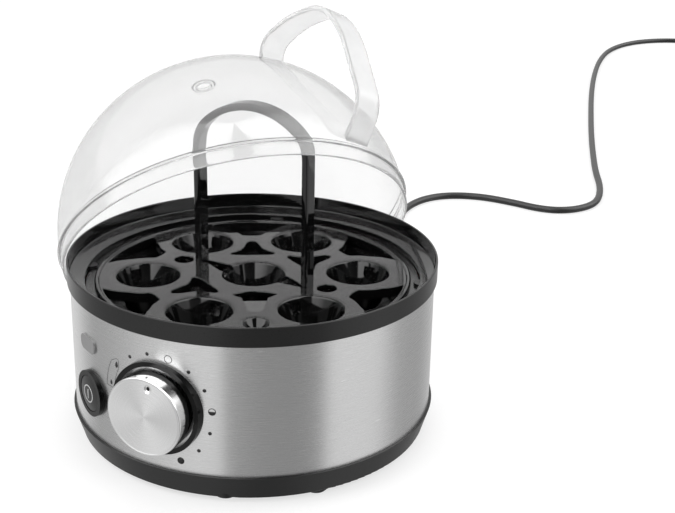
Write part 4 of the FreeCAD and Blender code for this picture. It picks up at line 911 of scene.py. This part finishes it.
def lid_dome():
    """Rim band, bead, half-round wall and steam vent as one closed profile round its axis."""
    outer_end = math.acos(VENT_OUTER_R / LID_DOME_R)
    inner_r, inner_h = LID_DOME_R - LID_WALL, LID_DOME_HEIGHT - LID_WALL
    inner_end = math.acos(VENT_INNER_R / inner_r)
    top = LID_BEAD_TOP + LID_DOME_HEIGHT
    rim_low = rounded([(95.4, 2.0), (95.4, 0.0), (LID_RIM_R, 0.0), (LID_RIM_R, 2.0)],
                      [0, 0.5, 0.5, 0], closed=False)
    bead = rounded([(LID_RIM_R, 6.0), (LID_RIM_R, 7.4), (98.0, 7.4), (98.0, 8.7),
                    (97.0, LID_BEAD_TOP), (97.0, LID_BEAD_TOP + 0.5)],
                   [0, 0.3, 0.45, 0.5, 0.5, 0], closed=False)
    outer = quarter(LID_DOME_R, LID_DOME_HEIGHT, 0.02, outer_end, 72)
    vent = rounded([(VENT_OUTER_R, top - 0.1), (VENT_OUTER_R, top + 1.2),
                    (VENT_INNER_R, top + 1.2), (VENT_INNER_R, top - 1.5)],
                   [0, 0.35, 0.35, 0], closed=False)
    inner = quarter(inner_r, inner_h, inner_end, 0.02, 72)
    foot = np.array([(95.6, 8.6), (95.4, 7.4)])
    parts = [rim_low, bead, outer, vent, inner, foot]
    starts = np.cumsum([len(part) for part in parts])
    points, quads, _ = lathe(np.concatenate(parts), 224)
    column = np.arange(len(quads)) % starts[-1]
    on_bead = (column >= starts[0]) & (column < starts[1] - 1)
    on_rim = (column < starts[0]) | (column >= starts[4])
    on_dome = ~(on_bead | on_rim)
    patches = [(IN_LID(points), quads[which], finish)
               for finish, which in enumerate((on_dome, on_bead, on_rim))]
    made = piece("lid_shell", patches, [CLEAR, CLEAR_BEAD, CLEAR_RIM], "lid", ["lid_dome"],
                 soften=False)
    return made


def strap():
    """Broad clear strap: a flat bar carried along a rounded route, its ends trimmed to the dome.

    Each corner of an end slides along the end run to the ellipsoid r^2/R^2 + h^2/H^2 = 1.
    """
    corners = np.array([(52.0, 84.5), (58.5, 98.0), (79.0, 99.6), (103.0, 92.5), (111.0, 71.0),
                        (111.0, 27.0), (96.0, 13.0)])
    before = np.roll(corners, 1, axis=0) - corners
    after = np.roll(corners, -1, axis=0) - corners
    lengths = np.minimum(np.linalg.norm(before, axis=1), np.linalg.norm(after, axis=1))
    half = np.arccos((unit(before) * unit(after)).sum(axis=1)) / 2
    route = rounded(corners, 0.45 * lengths * np.tan(half), closed=False, steps=12)
    path = np.column_stack([route[:, 0], np.zeros(len(route)), route[:, 1]])
    section = bar_section(17.0, 3.0, 1.0, steps=6)
    points, quads, _ = carried(section, path, (0.0, 1.0, 0.0))
    rows = points.reshape(-1, len(section), 3)
    scale = np.array([LID_DOME_R - 0.6, LID_DOME_R - 0.6, LID_DOME_HEIGHT - 0.6])
    for end, step in ((1, 1), (-2, -1)):
        run = unit(rows[end + 3 * step].mean(axis=0) - rows[end].mean(axis=0))
        p = (rows[end] - np.array([0.0, 0.0, LID_BEAD_TOP])) / scale
        d = run / scale
        a = (d * d).sum()
        b = (p * d).sum(axis=1)
        c = (p * p).sum(axis=1) - 1.0
        slide = (-b + np.sqrt(np.maximum(b * b - a * c, 0.0))) / a
        rows[end] += slide[:, None] * run
        rows[end - step] = rows[end].mean(axis=0)
    made = piece("lid_strap", [(IN_LID(turned(rows.reshape(-1, 3), 212.0)), quads, 0)],
                 [CLEAR_STRAP], "lid", ["lid_handle"])
    return made


lid_dome()
strap()


# Dial, switch and indicator


def knob():
    """Cap of the knob: face with a dimple z = -0.9 (1.15 - d^2)^0.8, raised rim and skirt."""
    wall = on_wall(0.0, DIAL_Z)
    radius = np.concatenate([np.linspace(0.0, KNOB_R - 1.5, 96),
                             [19.25, 19.4, 19.6, 19.9, 20.2, 20.4, KNOB_R]])
    lift = np.concatenate([np.zeros(96), [0.0, 0.06, 0.14, 0.16, 0.06, -0.2, -0.6]])
    angle = np.linspace(0.0, 2 * math.pi, 240, endpoint=False)[:, None]
    x, y = radius * np.sin(angle), radius * np.cos(angle)
    pointer = math.radians(10.0)
    away = np.hypot((x - 15.6 * math.sin(pointer)) / 0.8, y - 15.6 * math.cos(pointer)) / 2.1
    z = KNOB_FACE + lift - 0.9 * np.clip(1.15 - away ** 2, 0.0, 1.0) ** 0.8
    face = placed(patch(np.stack([x, y, z], axis=-1), True, False, 0), wall)
    side = np.array([(KNOB_R, KNOB_FACE - 0.6), (KNOB_R, 107.3), (KNOB_R, 96.2), (20.4, 95.7),
                     (20.1, KNOB_BACK), (19.7, KNOB_BACK), (19.7, 107.4), (0.0, 107.4)])
    skirt = placed(lathe(side, 240, False, 1), wall)
    made = piece("knob_shell", [face, skirt], [SPUN, POLISHED], "knob", ["knob_cap"])
    around_map(made, (0, 0, DIAL_Z), (1, 0, 0), (0, 0, 1))
    return made


def on_band(height):
    """Placing function: X runs round the band from the front, Y is up, Z out of the band."""
    def place(points):
        turn = points[:, 0] / BAND_R
        radius = BAND_R + points[:, 2]
        return np.stack([radius * np.sin(turn), -radius * np.cos(turn), points[:, 1] + height],
                        axis=-1)
    return place


def printed(outline, lift=0.05):
    """Thin closed plate over a star-shaped outline, in the plane z = 0."""
    return capped(outline, lambda flat, z: np.column_stack([flat, np.full(len(flat), z)]),
                  lift, -MARK_DEPTH)


def printed_line(path, width, lift=0.05):
    """Thin closed ribbon along a closed path, in the plane z = 0."""
    path = np.column_stack([path, np.zeros(len(path))])
    section = np.array([(lift, -width / 2), (lift, width / 2), (-MARK_DEPTH, width / 2),
                        (-MARK_DEPTH, -width / 2)])
    return carried(section, path, (0.0, 0.0, 1.0), closed=True)


def round_dial(angle, radius=MARK_PLACE_R):
    """Place of a mark round the dial, its angle counted clockwise from the top."""
    turn = math.radians(angle)
    return np.array([0.4 + radius * math.sin(turn), radius * math.cos(turn) - 0.8])


def dial_marks():
    """Scale round the dial: dots, an open, a half and a full circle, and a zone with drops."""
    wall = on_band(DIAL_Z)
    patches = []
    for angle in (-33.7, -10.2, 36.8, 60.6, 107.8, 131.3):
        patches.append(printed(circle(0.95, 24) + round_dial(angle)))
    patches.append(printed_line(circle(1.95, 40) + round_dial(13.4), 0.3))
    middle = round_dial(83.9)
    patches.append(printed_line(circle(1.75, 40) + middle, 0.35))
    below = circle(1.6, 40)
    below[:, 1] = np.minimum(below[:, 1], 0.1)
    patches.append(printed(below + middle))
    patches.append(printed(circle(1.85, 32) + round_dial(155.3)))
    drop = smoothed(np.array([(0.0, 2.4), (1.0, 0.4), (0.9, -1.0), (0.0, -1.6), (-0.9, -1.0),
                              (-1.0, 0.4)]), 2)
    patches.append(printed(drop @ spin(52.0 - 57.0) + round_dial(-57.5, 30.2)))
    patches.append(printed(drop * 0.8 + round_dial(-80.0, 30.6)))
    turn = np.radians(np.linspace(-59.0, -86.0, 16))
    outer = np.stack([33.4 * np.sin(turn), 33.4 * np.cos(turn)], axis=-1)
    inner = np.stack([27.4 * np.sin(turn), 27.4 * np.cos(turn)], axis=-1)[::-1]
    tip = np.array([round_dial(-49.5, 31.4)])
    zone = np.concatenate([tip, outer, inner])
    patches.append(printed_line(smoothed(zone, 1), 0.22))
    made = piece("dial_marks", [placed(made, wall) for made in patches], [MARK_INK], "base",
                 soften=False)
    return made


def switch_symbol():
    """Ring and bar on the button, laid on its domed face."""
    ball = (BUTTON_R ** 2 + BUTTON_DOME ** 2) / (2 * BUTTON_DOME)

    def on_button(points):
        reach = points[:, 0] ** 2 + points[:, 1] ** 2
        dome = BUTTON_FACE - ball + np.sqrt(ball ** 2 - reach)
        flat = np.column_stack([points[:, :2], dome + points[:, 2]])
        return on_wall(SWITCH_TURN, SWITCH_Z)(flat)

    bar = rounded([(-0.38, -2.6), (0.38, -2.6), (0.38, 2.6), (-0.38, 2.6)], 0.3, steps=4)
    patches = [printed_line(circle(SYMBOL_R, 64), 0.62, 0.06), printed(bar, 0.06)]
    made = piece("switch_symbol", [placed(made, on_button) for made in patches], [SYMBOL_INK],
                 "button", soften=False)
    return made


knob()
dial_marks()
switch_symbol()


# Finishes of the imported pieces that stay

KEPT = {
    "base_pan": BLACK_BASE, "base_screws": ZINC, "feet": FOOT_RUBBER, "heating_bowl": BOWL_COAT,
    "bowl_seal": SEAL, "heater_element": HEATER, "clamp_bar": ZINC, "bar_fasteners": ZINC,
    "thermostat": PHENOLIC, "thermal_fuse": FUSE, "fuse_strap": ZINC, "dial_ring": BLACK_TRIM,
    "knob_core": BLACK_TRIM, "control_unit": PHENOLIC, "control_board": BOARD,
    "buzzer": BLACK_TRIM, "switch_housing": BLACK_TRIM, "switch_button": BUTTON_GREY,
    "indicator_lens": LENS_SMOKE, "indicator_lamp": GLOW, "terminal_block": NYLON,
    "cord_clamp": NYLON, "cord_stub": CORD_BLACK, "strain_relief": CORD_BLACK,
    "inner_leads": LEAD, "plug_body": CORD_BLACK, "plug_pins": BRASS,
}
for name, finish in KEPT.items():
    mesh = nodes[name].data
    for index in range(len(mesh.materials)):
        mesh.materials[index] = finish


# Floor, light and world


def seen_directly(tree):
    """1 for rays from the camera, off gloss and through glass, and 0 for the rest."""
    path = add(tree, "ShaderNodeLightPath")
    two = maths(tree, "MAXIMUM", path.outputs["Is Camera Ray"], path.outputs["Is Glossy Ray"])
    return maths(tree, "MAXIMUM", two, path.outputs["Is Transmission Ray"])


def make_floor():
    """White floor that takes a pale shadow and isn't mirrored."""
    data = bpy.data.meshes.new("floor")
    side = 6.0
    data.from_pydata([(-side, -side, 0), (side, -side, 0), (side, side, 0), (-side, side, 0)], [],
                     [(0, 1, 2, 3)])
    made = shown("floor", data)
    finish = bpy.data.materials.new("floor_white")
    finish.use_nodes = True
    tree = finish.node_tree
    tree.nodes.remove(tree.nodes["Principled BSDF"])
    matt = add(tree, "ShaderNodeBsdfDiffuse", {"Color": grey(0.42)})
    glow = add(tree, "ShaderNodeEmission", {"Color": grey(1.0), "Strength": 0.66})
    none = add(tree, "ShaderNodeEmission", {"Color": grey(0.0), "Strength": 0.0})
    choice = add(tree, "ShaderNodeMixShader", {0: seen_directly(tree), 1: none.outputs[0],
                                               2: glow.outputs[0]})
    both = add(tree, "ShaderNodeAddShader", {0: matt.outputs[0], 1: choice.outputs[0]})
    tree.links.new(both.outputs[0], tree.nodes["Material Output"].inputs["Surface"])
    data.materials.append(finish)
    made.visible_glossy = False


def make_world():
    """White to look at, softer as light, and zoned by heading for what metal mirrors."""
    world = bpy.data.worlds.new("studio")
    world.use_nodes = True
    bpy.context.scene.world = world
    tree = world.node_tree
    back = tree.nodes["Background"]
    back.inputs["Color"].default_value = grey(1.0)
    back.inputs["Strength"].default_value = 0.72
    white = add(tree, "ShaderNodeBackground", {"Color": grey(1.0), "Strength": 1.0})
    heading = add(tree, "ShaderNodeTexCoord").outputs["Generated"]
    parts = add(tree, "ShaderNodeSeparateXYZ", {"Vector": heading})
    angle = maths(tree, "ARCTAN2", parts.outputs["X"], parts.outputs["Y"])
    share = ranged(tree, angle, -math.pi, math.pi, 0.0, 1.0)
    levels = []
    for stops in (LOW_ZONES, HIGH_ZONES):
        ramp = add(tree, "ShaderNodeValToRGB", {"Fac": share})
        first, last = ramp.color_ramp.elements
        (first.position, level), (last.position, last_level) = stops[0], stops[-1]
        first.color, last.color = grey(level), grey(last_level)
        for position, level in stops[1:-1]:
            ramp.color_ramp.elements.new(position).color = grey(level)
        levels.append(ramp.outputs["Color"])
    raised = ranged(tree, parts.outputs["Z"], 0.20, 0.28, 0.0, 1.0)
    zoned = add(tree, "ShaderNodeBackground", {"Color": mixed(tree, raised, *levels)})
    path = add(tree, "ShaderNodeLightPath")
    seen = add(tree, "ShaderNodeMixShader", {0: seen_directly(tree), 1: back.outputs[0],
                                             2: white.outputs[0]})
    mirrored = add(tree, "ShaderNodeMixShader", {0: path.outputs["Is Glossy Ray"],
                                                 1: seen.outputs[0], 2: zoned.outputs[0]})
    tree.links.new(mirrored.outputs[0], tree.nodes["World Output"].inputs["Surface"])


def zone(heading):
    """Place on the ramp of a heading, counted from the front towards the right, in degrees."""
    turn = math.atan2(math.sin(math.radians(heading)), -math.cos(math.radians(heading)))
    return turn / (2 * math.pi) + 0.5


def ring_of(*stops):
    """Zones in the order of the ramp, its two ends, which both lie ahead, at the same level."""
    ahead = [level for heading, level in stops if heading == 0.0][0]
    placed_stops = sorted((zone(heading), level) for heading, level in stops if heading != 0.0)
    return [(0.0, ahead)] + placed_stops + [(1.0, ahead)]


LOW_ZONES = ring_of((-150.0, 0.88), (-112.0, 0.88), (-88.0, 0.48), (-62.0, 0.58), (-36.0, 0.80),
                    (-14.0, 0.90), (0.0, 0.90), (7.0, 0.88), (13.0, 0.42), (60.0, 0.37),
                    (70.0, 0.40), (78.0, 0.92), (112.0, 0.92), (132.0, 0.50), (158.0, 0.46))
HIGH_ZONES = ring_of((-150.0, 1.1), (-80.0, 1.0), (-62.0, 3.2), (0.0, 3.2), (22.0, 3.2),
                     (27.0, 0.04), (64.0, 0.04), (69.0, 3.2), (140.0, 3.2), (160.0, 1.1))


def lamp(name, place, aim, size, power):
    """Flat lamp that lights, and isn't seen or mirrored."""
    data = bpy.data.lights.new(name, "AREA")
    data.shape = "RECTANGLE"
    data.size, data.size_y = size
    data.energy = power
    made = shown(name, data)
    made.location = place
    made.rotation_mode = "QUATERNION"
    made.rotation_quaternion = (Vector(aim) - Vector(place)).to_track_quat("-Z", "Y")
    made.visible_glossy = False
    made.visible_camera = False
    made.visible_transmission = False


make_floor()
make_world()
lamp("key_lamp", (-0.9, -1.1, 1.5), (0.0, 0.0, 0.08), (0.9, 0.9), 9.0)
lamp("fill_lamp", (1.6, -0.5, 1.1), (0.0, 0.0, 0.08), (0.8, 0.8), 5.0)
lamp("top_lamp", (0.1, 0.5, 1.8), (0.0, 0.1, 0.05), (1.0, 1.0), 6.0)

bpy.context.scene.view_settings.view_transform = "Standard"
